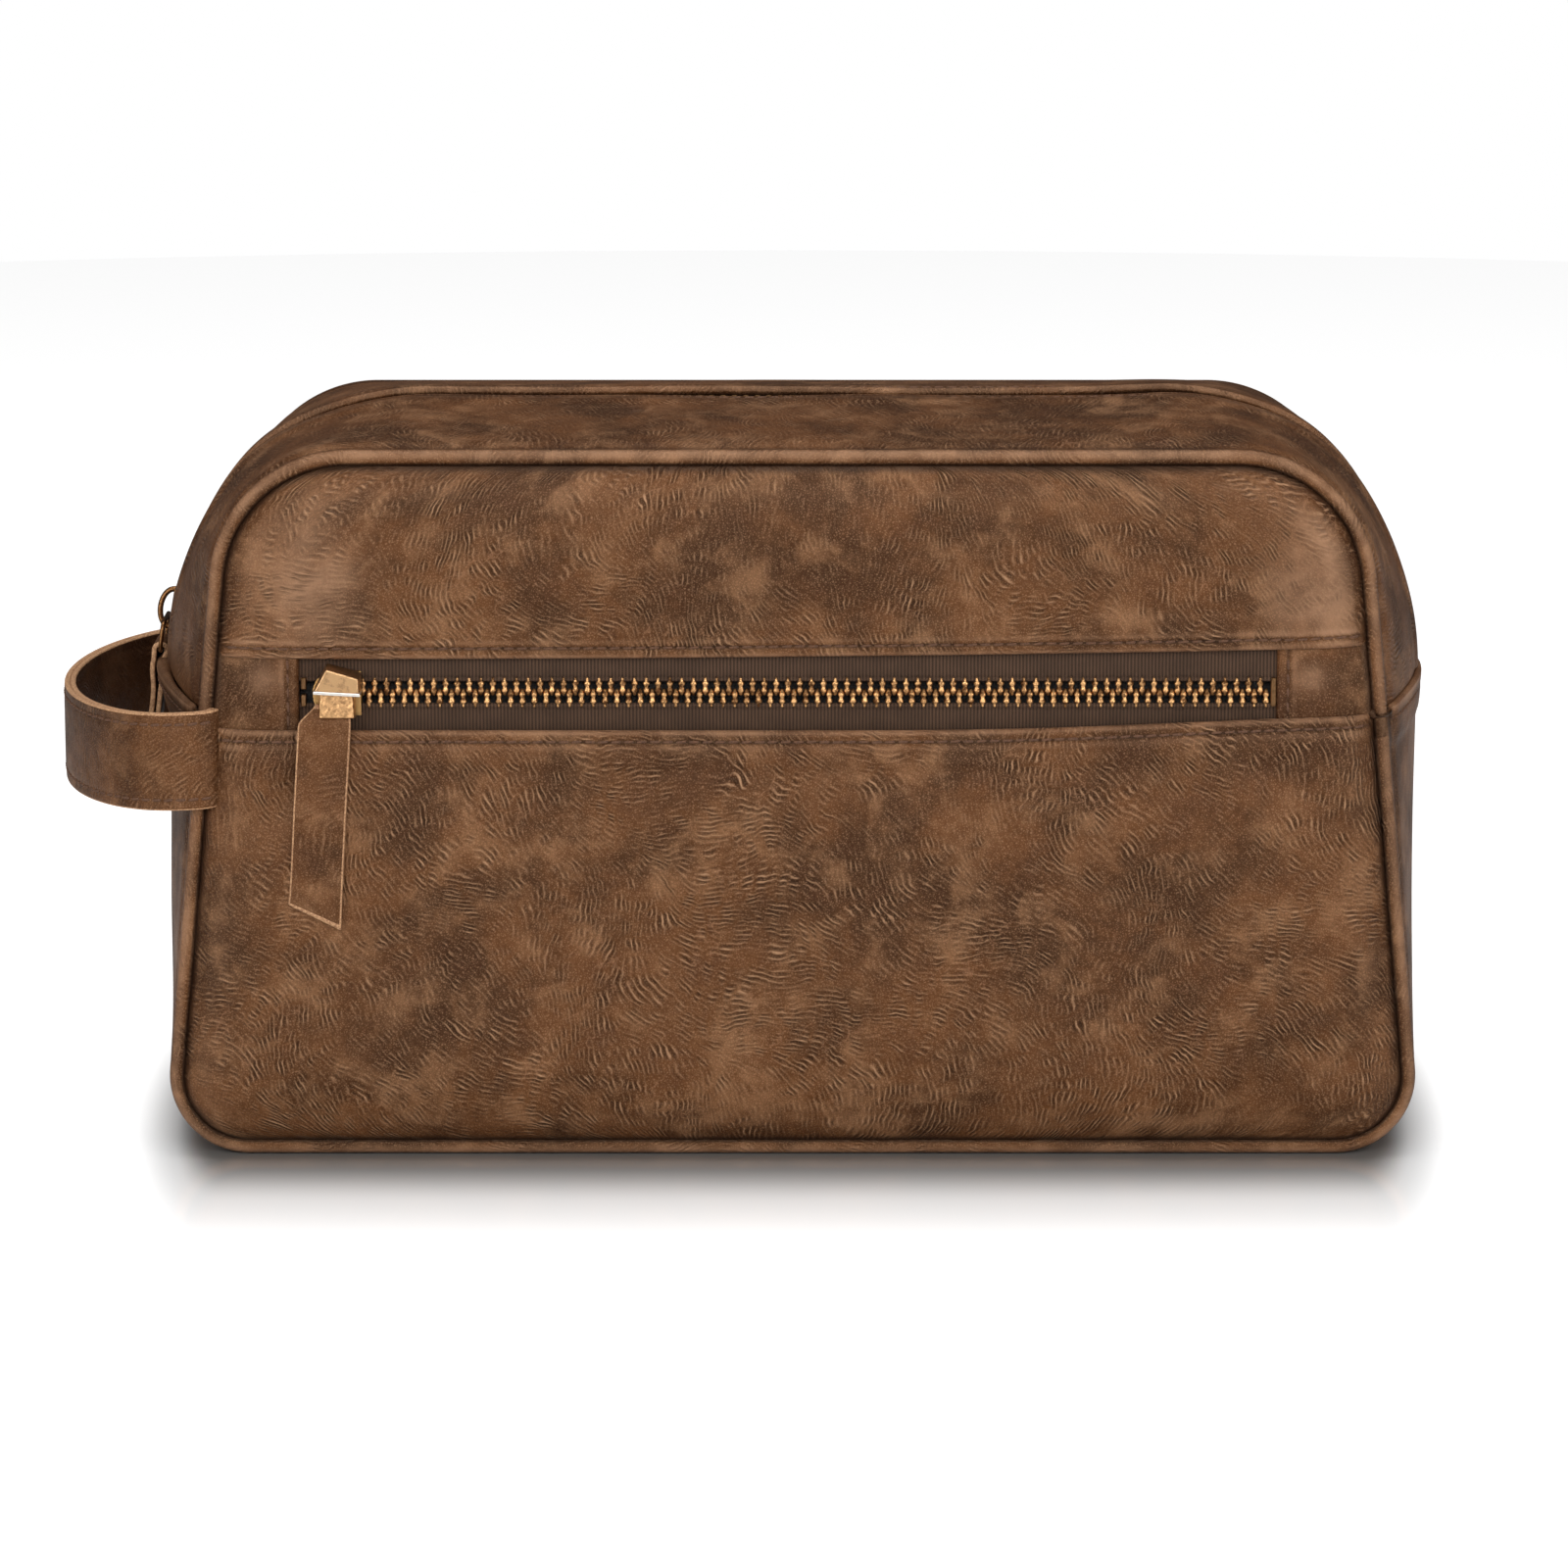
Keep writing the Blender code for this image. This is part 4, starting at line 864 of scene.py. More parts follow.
def panel_sheet(name, heights, columns, side, rise_at, seed, material, sides, hem=None, low_hem=False, **ways):
    """A panel or a part of one, between its seam and an optional folded hem along its lower or upper edge."""
    share = np.linspace(-1.0, 1.0, columns)
    z = np.repeat(heights[:, None], columns, 1)
    x = seam_x(z) * share
    if hem:
        edge = hem(x[0]) + FOLD_RADIUS if low_hem else hem(x[-1]) - FOLD_RADIUS
        start = heights[0] if low_hem else heights[-1]
        reach = 30.0 * MM
        z = z + (edge - start)[None, :] * ease(1.0 - np.abs(z - start) / reach)
        x = seam_x(z) * share
    points, inset, run = panel_face(x, z, rise_at, side, seed)
    tone = 0.0 * inset
    # Painted shade in the seam groove and a faint painted highlight about 5 mm in.
    tone = tone - 0.9 * bump_at(inset, 1.3 * MM) + 0.18 * bump_at(inset - 5.0 * MM, 3.0 * MM)
    # Painted sheen on the bag's upper corners.
    painted_corner_sheen = bump_at(np.abs(x - 4.0 * MM) - 103.0 * MM, 10.0 * MM) * bump_at(z - 122.0 * MM, 15.0 * MM)
    tone = tone + 0.75 * painted_corner_sheen
    if hem:
        along = np.abs(z - hem(x))
        border = ease(inset / (3.0 * MM))
        points[..., 1] += side * hem_relief(along, x) * border
        tone = tone + hem_tone(along) * border
        points, tone, run, inset = add_fold(points, tone, run, inset, side, low_hem)
    rows = len(points)
    border = border_numbers(rows, columns, sides)
    flat_run = run.reshape(-1)[border]
    rings = turned_edge(points.reshape(-1, 3)[border], flat_run, side)
    if hem:
        rings = [np.where((inset.reshape(-1)[border] < 0.0)[:, None], points.reshape(-1, 3)[border], ring) for ring in rings]
    return sheet(name, points, [material], tone=tone, turned=(border, rings), **ways)


def add_fold(points, tone, run, inset, side, low_hem):
    """Carries a panel's edge round its fold and back behind itself."""
    along, depth = hem_curve()
    edge = points[0] if low_hem else points[-1]
    direction = 1.0 if low_hem else -1.0
    extra = np.stack([edge + np.array([0.0, -side * d, direction * (a - FOLD_RADIUS)]) for a, d in zip(along, depth)])
    # Painted highlight on the fold's crest, painted shade on the rows behind it.
    extra_tone = np.stack([np.full(len(edge), 0.5 if a < FOLD_RADIUS and d < FOLD_RADIUS else -0.6) for a, d in zip(along, depth)])
    last_run = run[0] if low_hem else run[-1]
    last_inset = inset[0] if low_hem else inset[-1]
    extra_run = np.repeat(last_run[None], len(along), 0)
    extra_inset = np.repeat(last_inset[None], len(along), 0)
    if low_hem:
        joined = (extra[::-1], points), (extra_tone[::-1], tone), (extra_run[::-1], run), (extra_inset[::-1], inset)
    else:
        joined = (points, extra), (tone, extra_tone), (run, extra_run), (inset, extra_inset)
    return [np.concatenate(pair) for pair in joined]


PANEL_STEP = 1.3 * MM
PANEL_COLUMNS = 200


def front_panels(rise_at):
    upper = panel_heights(WINDOW_HIGH + GAP, SEAM_TOP, 0.45 * MM)
    panel_sheet("front_upper_leather", upper, PANEL_COLUMNS, -1.0, rise_at, 3, leather_for("upper", 1.0),
                ["left", "top", "right"], hem=upper_hem, low_hem=True, stands_for=("front_upper_panel",))
    lower = panel_heights(SEAM_BOTTOM, WINDOW_LOW - GAP, 0.7 * MM)
    panel_sheet("front_lower_leather", lower, PANEL_COLUMNS, -1.0, rise_at, 5, leather_for("lower", 2.0),
                ["right", "bottom", "left"], hem=lower_hem, stands_for=("front_lower_panel",))
    for name, hem, hand, slot in (("upper", upper_hem, 1.0, "front_upper_panel"), ("lower", lower_hem, -1.0, "front_lower_panel")):
        x = np.linspace(-1.0, 1.0, 240) * (seam_x(np.array(hem(0.0))) - 2.0 * MM)
        z = hem(x) + hand * STITCH_INSET
        path, inset, _ = panel_face(x, z, rise_at, -1.0, 3 if hand > 0 else 5)
        path[:, 1] -= 0.22 * MM
        outward = np.repeat([[0.0, -1.0, 0.0]], len(path), 0)
        stitches(name + "_hem_stitches", path, outward, slot)


def back_panel(rise_at):
    heights = panel_heights(SEAM_BOTTOM, SEAM_TOP, PANEL_STEP)
    panel_sheet("back_leather", heights, PANEL_COLUMNS, 1.0, rise_at, 8, leather_for("back", 3.0, turn=-0.5),
                ["left", "top", "right", "bottom"], stands_for=("back_panel",))


def pocket_tab(name, hand):
    """The leather at an end of the pocket's window, folded along its free edge and stitched beside the fold."""
    edge_x = WINDOW_LEFT if hand < 0 else WINDOW_RIGHT
    z = np.linspace(WINDOW_LOW - 4.0 * MM, WINDOW_HIGH + 4.0 * MM, 34)
    reach = np.linspace(0.0, 1.0, 40)
    outer = seam_x(z) * hand
    start = edge_x + hand * FOLD_RADIUS
    x = start + (outer - start)[:, None] * reach[None, :]
    rows = np.repeat(z[:, None], len(reach), 1)
    points, inset, run = panel_face(x, rows, lambda a, b: 0.0 * a, -1.0, 11)
    along = np.abs(x - edge_x)
    points[..., 1] += TAB_DEPTH * ease(inset / (2.5 * MM)) - hem_relief(along, rows) * 0.8
    points[..., 1] -= 0.7 * MM * bump_at(rows - POCKET_CHAIN_Z, 5.0 * MM) * bump_at(along - 9.0 * MM, 6.0 * MM)
    # Painted shade in the seam groove; painted sheen across the tab's middle.
    tone = hem_tone(along) * 0.8 - 0.8 * bump_at(inset, 1.5 * MM)
    tone = tone + 0.6 * bump_at(along - 7.0 * MM, 4.0 * MM) * bump_at(rows - POCKET_CHAIN_Z - 3.0 * MM, 4.0 * MM)
    back, depth = hem_curve()
    fold = [points[:, 0] + np.array([hand * (a - FOLD_RADIUS), d, 0.0]) for a, d in zip(back, depth)]
    fold = np.stack(fold, 1)[:, ::-1]
    points = np.concatenate([fold, points], 1)
    tone = np.concatenate([np.zeros(fold.shape[:2]), tone], 1)
    ring_run = run[:, -1]
    grid = np.arange(points.shape[0] * points.shape[1]).reshape(points.shape[:2])
    rings = turned_edge(None, ring_run, -1.0)
    part = "tab_left" if hand < 0 else "tab_right"
    sheet(name + "_leather", points, [leather_for(part, 4.0 + hand, creases=0.25)], tone=tone,
          turned=(grid[:, -1], rings), stands_for=(name,))
    path_z = np.linspace(WINDOW_LOW, WINDOW_HIGH, 30)
    path = np.stack([np.full(30, edge_x + hand * STITCH_INSET), np.full(30, -FACE_Y + TAB_DEPTH - 0.25 * MM), path_z], -1)
    stitches(name + "_stitches", path, np.repeat([[0.0, -1.0, 0.0]], 30, 0), name)


# ---- gusset ----


def lip_rows(run, side):
    """The gusset's turned-in edge and rounded lip, from inside the bag to the lip's top."""
    rows = [on_allowance(run, share * SEAM_ALLOWANCE, side, 0.5 * GAP) for share in (1.0, 0.5)]
    for angle in np.radians(np.linspace(-135.0, -9.0, 12)):
        rows.append(on_lip(run, angle, side))
    # Painted shade on the turned-in edge and the lip's inner side; painted highlight along the lip's crest.
    tones = [-1.0, -1.0, -1.0, -0.8, -0.3] + [0.6 * math.sin(math.pi * (k + 1) / 10) for k in range(9)]
    return rows, tones


def depth_rows(first, last, step):
    count = max(int(abs(last - first) / step), 2)
    return np.linspace(first, last, count + 1)


def top_gusset(name, side, seed):
    """A strip beside the main zip: from its lip over the wall to a folded hem, tucked under the side hems."""
    reach = run_at_height(HEM_Z - 5.0 * MM)
    run = np.linspace(-reach, reach, 420)
    tuck = 1.5 * MM * ease((np.abs(run) - run_at_height(HEM_Z + 1.5 * MM)) / (3.0 * MM))
    rows, tones = lip_rows(run, side)
    edge = ZIP_SLOT
    for y in depth_rows(ROLL_BACK_Y, edge + FOLD_RADIUS, 1.0 * MM):
        along = y - edge
        point = on_gusset(run, side * y)
        x, z, nx, nz, _ = outline_at(run)
        wave = 0.4 * MM * waves(point, 30.0 * MM, seed) * ease((ROLL_BACK_Y - y) / (9.0 * MM))
        lift = hem_relief(along, run) + wave - tuck
        rows.append(point + np.stack([nx * lift, 0.0 * nx, nz * lift], -1))
        # Painted shade in the crease behind the lip.
        tones.append(float(hem_tone(along)) - 0.75 * float(bump_at(ROLL_BACK_Y - y - 1.5 * MM, 1.6 * MM)))
    last = rows[-1]
    x, z, nx, nz, _ = outline_at(run)
    back, depth = hem_curve()
    for a, d in zip(back, depth):
        shift = a - FOLD_RADIUS
        rows.append(last + np.stack([-nx * d, side * shift + 0.0 * nx, -nz * d], -1))
        # Painted highlight on the fold, painted shade behind it.
        tones.append(0.4 if d < FOLD_RADIUS else -0.6)
    points = np.stack(rows)
    tone = np.repeat(np.array(tones)[:, None], len(run), 1)
    sheet(name + "_leather", points, [leather_for(name, seed, creases=0.45, turn=0.2)], tone=tone, stands_for=(name,))
    line = np.linspace(-reach + 6.0 * MM, reach - 6.0 * MM, 500)
    _, _, nx, nz, _ = outline_at(line)
    path = on_gusset(line, side * (edge + STITCH_INSET), -0.15 * MM)
    stitches(name + "_stitches", path, np.stack([nx, 0.0 * nx, nz], -1), name)


def bottom_gusset():
    """The sides and base in one piece, with a folded, stitched hem at each side; the left one gapes in its middle."""
    start = run_at_height(HEM_Z)
    whole = RUN[-1]
    right = np.linspace(start, whole, 230)
    run = np.concatenate([right, -right[::-1][1:]])
    along = np.abs(run) - start
    rows, tones = [], []
    lips, lip_tones = lip_rows(run, -1.0)
    depths = depth_rows(-ROLL_BACK_Y, ROLL_BACK_Y, 1.0 * MM)
    x, z, nx, nz, _ = outline_at(run)
    for point, tone in zip(lips, lip_tones):
        rows.append(point)
        tones.append(np.full(len(run), tone))
    for y in depths:
        point = on_gusset(run, y)
        wave = 0.45 * MM * waves(point, 34.0 * MM, 21) * ease((ROLL_BACK_Y - abs(y)) / (9.0 * MM))
        free = ease((ROLL_BACK_Y - abs(y)) / (4.0 * MM))
        gape = np.where(run < 0.0, gape_at(y), 0.0) * ease(1.0 - along / (9.0 * MM))
        grounded = ease((z - 2.0 * MM) / (12.0 * MM))
        overlap = np.where(run < 0.0, 0.9 * MM, 0.5 * MM) * free * ease(1.0 - along / (10.0 * MM))
        lift = hem_relief(along, y) * free + overlap + gape + wave * grounded
        rows.append(point + np.stack([nx * lift, 0.0 * nx, nz * lift], -1))
        # Painted shade in the crease behind the lip.
        tones.append(hem_tone(along) * free - 0.75 * bump_at(ROLL_BACK_Y - abs(y) - 1.5 * MM, 1.6 * MM))
    back_lips, back_tones = lip_rows(run, 1.0)
    for point, tone in zip(back_lips[::-1], back_tones[::-1]):
        rows.append(point)
        tones.append(np.full(len(run), tone))
    points, tone = np.stack(rows), np.stack(tones)
    points[..., 2] = np.maximum(points[..., 2], 0.0)
    depth_of_row = np.abs(points[:, 0, 1])
    opened = ease((ROLL_BACK_Y - depth_of_row) / (5.0 * MM))
    points, tone = fold_side(points, tone, opened, 0.0)
    points, tone = fold_side(points[:, ::-1], tone[:, ::-1], opened, 1.0)
    sheet("bottom_gusset_leather", points, [leather_for("bottom_gusset", 7.0, creases=0.4, turn=1.4)], tone=tone,
          stands_for=("bottom_gusset",))
    y = np.linspace(-ROLL_BACK_Y + 2.0 * MM, ROLL_BACK_Y - 2.0 * MM, 120)
    for side, label in ((-1.0, "left"), (1.0, "right")):
        line = side * (start + STITCH_INSET) + 0.0 * y
        _, _, nx, nz, _ = outline_at(line)
        free = ease((ROLL_BACK_Y - np.abs(y)) / (4.0 * MM))
        near = ease(1.0 - STITCH_INSET / (9.0 * MM))
        out = gape_at(y) * near + 1.15 * MM * free if side < 0.0 else 0.78 * MM * free
        path = on_gusset(line, y, -out)
        stitches("side_hem_stitches_" + label, path, np.stack([nx, 0.0 * nx, nz], -1), "bottom_gusset")


def gape_at(y):
    """How far the side hem stands off in the middle of the side."""
    return 1.6 * MM * bump_at(y, 20.0 * MM)


def fold_side(points, tone, opened, gaping):
    """Folds the first column of a gusset sheet back behind itself; the fold is rounder where it gapes."""
    edge, inner = points[:, 0], points[:, 1]
    into = unit(inner - edge)
    outward = unit(np.cross(into, np.roll(edge, -1, 0) - np.roll(edge, 1, 0)))
    outward[0], outward[-1] = outward[1], outward[-2]
    flip = np.sign((outward * (edge - np.array(BAG_MIDDLE))).sum(-1, keepdims=True))
    outward = outward * flip
    radius = FOLD_RADIUS * (0.75 + gaping * 0.9 * gape_at(edge[:, 1]) / (1.6 * MM)) * np.maximum(opened, 0.15)
    radius = radius[:, None]
    columns = []
    for turn in np.linspace(0.0, math.pi, 9)[1:]:
        columns.append(edge - into * radius * math.sin(turn) - outward * radius * (1.0 - math.cos(turn)))
    columns.append(columns[-1] + into * FOLD_BACK * opened[:, None])
    fold = np.stack(columns[::-1], 1)
    # The folded leather is painted lighter where the wall opens out and painted in shade near the lips.
    folded_tone = np.repeat(np.where(opened > 0.5, 0.3, -0.8)[:, None], fold.shape[1], 1)
    return np.concatenate([fold, points], 1), np.concatenate([folded_tone, tone], 1)


# ---- zips ----


def tooth_shape():
    """One zip tooth: x along the chain, y towards its own tape from the chain's middle, z outwards."""
    stations = (
        (-0.70, 0.20, 0.35), (-0.56, 0.34, 0.56), (-0.20, 0.42, 0.68), (0.06, 0.54, 0.94), (0.40, 0.70, 1.08),
        (0.75, 0.62, 0.98), (1.15, 0.40, 0.74), (1.55, 0.62, 0.96), (1.90, 0.74, 1.08), (2.22, 0.64, 0.98),
        (2.42, 0.34, 0.80), (2.75, 0.30, 0.94), (3.05, 0.28, 0.88), (3.22, 0.16, 0.60),
    )
    sides = 12
    around = 2.0 * math.pi * (np.arange(sides) + 0.5) / sides
    square = 0.55
    ring_x = np.sign(np.cos(around)) * np.abs(np.cos(around)) ** square
    ring_z = np.sign(np.sin(around)) * np.abs(np.sin(around)) ** square
    rings = [np.stack([half * ring_x, across + 0.0 * ring_x, thick * ring_z], -1) for across, half, thick in stations]
    vertices = np.concatenate(rings) * MM
    faces = []
    for i in range(len(stations) - 1):
        for k in range(sides):
            near, far = i * sides + k, i * sides + (k + 1) % sides
            faces.append((near, far, far + sides, near + sides))
    faces.append(tuple(range(sides - 1, -1, -1)))
    faces.append(tuple((len(stations) - 1) * sides + k for k in range(sides)))
    return vertices, faces


TOOTH = tooth_shape()


def tooth_frames(starts, hand, place):
    """Frames for a row of teeth. place(along) gives the chain's middle, its direction and its outward normal."""
    frames = []
    for number, along in enumerate(starts):
        origin, forward, outward = place(along)
        across = hand * np.cross(outward, forward)
        tilt = 0.05 * math.sin(3.7 * number)
        frames.append((origin, hand * (forward + tilt * across), across, outward))
    return frames


def pocket_place(along):
    return np.array([along, POCKET_CHAIN_Y, POCKET_CHAIN_Z]), np.array([1.0, 0.0, 0.0]), np.array([0.0, -1.0, 0.0])


def main_place(along):
    """The main chain's middle. along starts at 0 where the left shoulder begins and runs over the top."""
    arc = 0.5 * math.pi * CHAIN_RADIUS
    level = 2.0 * RIDGE_SHOULDER_X
    if along < 0.0:
        angle, x, z = math.pi, -RIDGE_SHOULDER_X, RIDGE_SHOULDER_Z + along
    elif along < arc:
        angle, x, z = math.pi - along / CHAIN_RADIUS, -RIDGE_SHOULDER_X, RIDGE_SHOULDER_Z
    elif along < arc + level:
        angle, x, z = 0.5 * math.pi, along - arc - RIDGE_SHOULDER_X, RIDGE_SHOULDER_Z
    else:
        angle, x, z = 0.5 * math.pi - (along - arc - level) / CHAIN_RADIUS, RIDGE_SHOULDER_X, RIDGE_SHOULDER_Z
    outward = np.array([math.cos(angle), 0.0, math.sin(angle)])
    forward = np.array([math.sin(angle), 0.0, -math.cos(angle)])
    return np.array([x, 0.0, z]) + CHAIN_RADIUS * outward, forward, outward


def pocket_zip():
    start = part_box("pocket_teeth_upper")[0].x + 0.46 * MM
    stop = WINDOW_RIGHT - 2.2 * MM
    count = int((stop - start) / TOOTH_PITCH) + 1
    for label, hand in (("upper", 1.0), ("lower", -1.0)):
        first = start + (0.0 if hand > 0 else 0.5 * TOOTH_PITCH)
        starts = first + TOOTH_PITCH * np.arange(count)
        teeth = copies("pocket_zip_teeth_" + label, TOOTH, tooth_frames(starts, hand, pocket_place), [TOOTH_BRASS],
                       stands_for=("pocket_teeth_" + label,), body="bag")
        along = np.linspace(WINDOW_LEFT - 5.0 * MM, WINDOW_RIGHT + 5.0 * MM, 90)
        across = tape_profile(hand)
        points = np.stack([
            np.stack([along, POCKET_CHAIN_Y - cord + 0.0 * along, POCKET_CHAIN_Z + a + 0.0 * along], -1)
            for a, cord in across
        ])
        tape = sheet("pocket_zip_tape_" + label, points, [TAPE], thickness=0.5 * MM, stands_for=("pocket_tape_" + label,))
        open_pocket(teeth)
        open_pocket(tape)


def tape_profile(hand):
    """Distance across from the chain's middle and height of the tape's face, with the cord along its inner edge."""
    rows = []
    for turn in np.linspace(-0.3 * math.pi, 0.85 * math.pi, 8):
        rows.append((hand * (2.80 + 0.55 * math.cos(math.pi - turn)) * MM, (0.1 + 0.55 * math.sin(turn)) * MM))
    rows += [(hand * (3.45 + 12.0 * k / 12) * MM, 0.1 * MM) for k in range(0, 13)]
    return rows


def open_pocket(item):
    """Gives the piece its own copy of its mesh."""
    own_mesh(item)


def main_zip():
    arc = 0.5 * math.pi * CHAIN_RADIUS
    level = 2.0 * RIDGE_SHOULDER_X
    start = math.radians(10.5) * CHAIN_RADIUS - 2.0 * MM
    count = int((2.0 * arc + level - 3.0 * MM - start) / TOOTH_PITCH)
    split = int((math.radians(85.0) * CHAIN_RADIUS - start) / TOOTH_PITCH)
    for label, hand in (("front", 1.0), ("back", -1.0)):
        first = start + (0.0 if hand < 0 else 0.5 * TOOTH_PITCH)
        starts = first + TOOTH_PITCH * np.arange(count)
        opening = copies("main_zip_teeth_" + label + "_opening", TOOTH, tooth_frames(starts[:split], hand, main_place),
                         [TOOTH_BRASS], slot="main_teeth_" + label)
        copies("main_zip_teeth_" + label, TOOTH, tooth_frames(starts[split:], hand, main_place), [TOOTH_BRASS],
               stands_for=("main_teeth_" + label,))
        ends = (-6.0 * MM, start + TOOTH_PITCH * split, 2.0 * arc + level + 4.0 * MM)
        tapes = []
        for part, low, high in (("_opening", ends[0], ends[1]), ("", ends[1], ends[2])):
            along = np.linspace(low, high, int((high - low) / (1.6 * MM)))
            centre, forward, outward = (np.stack(v) for v in zip(*(main_place(a) for a in along)))
            across = np.array([0.0, -hand, 0.0])
            points = np.stack([centre + across * abs(a) + outward * cord for a, cord in tape_profile(1.0)])
            ways = {"slot": "main_tape_" + label} if part else {"stands_for": ("main_tape_" + label,)}
            tapes.append(sheet("main_zip_tape_" + label + part, points, [TAPE], thickness=0.5 * MM, **ways))
        for item in (opening, tapes[0]):
            open_main(item)


def open_main(item):
    """Gives the piece its own copy of its mesh."""
    top, forward, _ = main_place(math.radians(84.0) * CHAIN_RADIUS)
    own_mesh(item)


# ---- straps ----

STRAP_EDGE = 0.35 * MM  # rounding of a strap's long edges


def strap_section(width, thickness):
    """Outline of a strap's cross-section, across and out, with rounded edges; closed, starting on the outer face."""
    half, thick = 0.5 * width, 0.5 * thickness
    points = []
    for corner_x, corner_z, first in ((1, 1, 0.5), (1, -1, 0.0), (-1, -1, -0.5), (-1, 1, -1.0)):
        centre = corner_x * (half - STRAP_EDGE), corner_z * (thick - STRAP_EDGE)
        for turn in np.linspace(first * math.pi, (first - 0.5) * math.pi, 4):
            points.append((centre[0] + STRAP_EDGE * math.cos(turn), centre[1] + STRAP_EDGE * math.sin(turn)))
    return points


def strap(name, centres, across, outward, width, thickness, material, seed=0.0, relief=None, **ways):
    """A solid strip swept along centres. Its faces are leather and its long cut edges are raw."""
    section = strap_section(width, thickness)
    fine = []
    for k, (a, o) in enumerate(section):
        fine.append((a, o))
        following = section[(k + 1) % len(section)]
        gap = abs(following[0] - a)
        if gap > 2.0 * MM:
            steps = int(gap / (0.8 * MM))
            fine += [(a + (following[0] - a) * i / steps, o + (following[1] - o) * i / steps) for i in range(1, steps)]
    section = np.array(fine)
    sides = len(section)
    rings = []
    for k, (centre, sideways, out) in enumerate(zip(centres, across, outward)):
        proud = relief(k, section[:, 0]) if relief else 0.0
        rings.append(centre + section[:, :1] * sideways + (section[:, 1] + np.sign(section[:, 1]) * proud)[:, None] * out)
    vertices = np.concatenate(rings)
    faces = []
    cut = []
    edge_start = 0.5 * width - 1.05 * STRAP_EDGE
    for i in range(len(centres) - 1):
        for k in range(sides):
            near, far = i * sides + k, i * sides + (k + 1) % sides
            faces.append((near, near + sides, far + sides, far))
            both = min(abs(section[k, 0]), abs(section[(k + 1) % sides, 0]))
            cut.append(both > edge_start or i == len(centres) - 2 or i == 0)
    last = (len(centres) - 1) * sides
    faces += [tuple(range(sides)), tuple(last + k for k in range(sides - 1, -1, -1))]
    cut += [True, True]
    item = mesh_piece(name, vertices, faces, [material, EDGE], **ways)
    item.data.polygons.foreach_set("material_index", np.array(cut, np.int32))
    run = lengths(np.array(centres))
    set_uv(item.data, np.stack([np.tile(section[:, 0], len(centres)), np.repeat(run, sides)], -1))
    set_tone(item.data, np.zeros(len(vertices)))
    face_outwards(item.data, np.mean(vertices, 0))
    return item


HANDLE_LOW, HANDLE_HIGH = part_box("handle_strap_outer")
HANDLE_Z = 0.5 * (HANDLE_LOW.z + HANDLE_HIGH.z)
HANDLE_WIDTH = HANDLE_HIGH.z - HANDLE_LOW.z
HANDLE_HALF_DEPTH = HANDLE_HIGH.y
HANDLE_ROOT_X = -122.0 * MM
HANDLE_PLY = 1.15 * MM


def handle_path(steps):
    """The handle's outer face seen from above: out of the front seam groove, round the loop and into the back one."""
    reach = HANDLE_ROOT_X - HANDLE_LOW.x
    root = [(-118.4, -50.2), (-118.7, -52.4), (-119.5, -54.2), (-120.7, -55.2)]
    angles = np.linspace(0.0, math.pi, steps)
    loop = [(HANDLE_ROOT_X - reach * math.sin(a) ** 0.94, -HANDLE_HALF_DEPTH * math.cos(a)) for a in angles]
    front = [(x * MM, y * MM) for x, y in root]
    back = [(x, -y) for x, y in front[::-1]]
    return np.array(front + loop + back)


def handle():
    """Two plies sewn together near both long edges, with their roots in the seams."""
    flat = handle_path(70)
    run = lengths(flat)
    even = np.linspace(0.0, run[-1], 130)
    flat = np.stack([np.interp(even, run, flat[:, k]) for k in range(2)], -1)
    for _ in range(3):
        flat[1:-1] = 0.25 * flat[:-2] + 0.5 * flat[1:-1] + 0.25 * flat[2:]
    forward = unit(np.gradient(flat, axis=0))
    out = np.stack([forward[:, 1], -forward[:, 0], 0.0 * even], -1)
    out = out * np.sign((out[:, :2] * (flat - np.array([HANDLE_ROOT_X, 0.0]))).sum(-1))[:, None]
    root = bump_at(even, 16.0 * MM) + bump_at(even[-1] - even, 16.0 * MM)
    height = HANDLE_Z + 0.9 * MM * root - 1.3 * MM * np.sin(math.pi * even / even[-1])
    up = np.repeat([[0.0, 0.0, 1.0]], len(even), 0)
    outer = np.stack([flat[:, 0], flat[:, 1], height], -1) - 0.5 * HANDLE_PLY * out
    pinch = 0.5 * HANDLE_WIDTH - STITCH_INSET

    def relief(k, across):
        grooves = bump_at(across - pinch, 0.5 * MM) + bump_at(across + pinch, 0.5 * MM)
        return 0.16 * MM * (1.0 - (across / (0.5 * HANDLE_WIDTH)) ** 6) - 0.30 * MM * grooves

    plies = (
        ("handle_outer_ply", outer, "handle_strap_outer", leather_for("handle", 9.0, creases=0.5)),
        ("handle_inner_ply", outer - (HANDLE_PLY + 0.05 * MM) * out, "handle_strap_lining",
         leather_for("handle_inside", 10.0, depth=0.45, creases=0.3)),
    )
    pieces = [strap(name, centres, up, out, HANDLE_WIDTH, HANDLE_PLY, material, relief=relief, body=None,
                    stands_for=(node,)) for name, centres, node, material in plies]
    for label, hand in (("top", 1.0), ("bottom", -1.0)):
        path = outer + hand * pinch * up + (0.5 * HANDLE_PLY - 0.05 * MM) * out
        pieces.append(stitches("handle_stitches_" + label, path[4:-4], out[4:-4], "handle_strap_outer", body=None))
    for item in pieces:
        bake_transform(item)


STRAP_LOW, STRAP_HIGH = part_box("pocket_pull_strap")
HEAD_LOW, HEAD_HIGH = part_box("pocket_pull_head")
PULL_WIDTH = 10.9 * MM


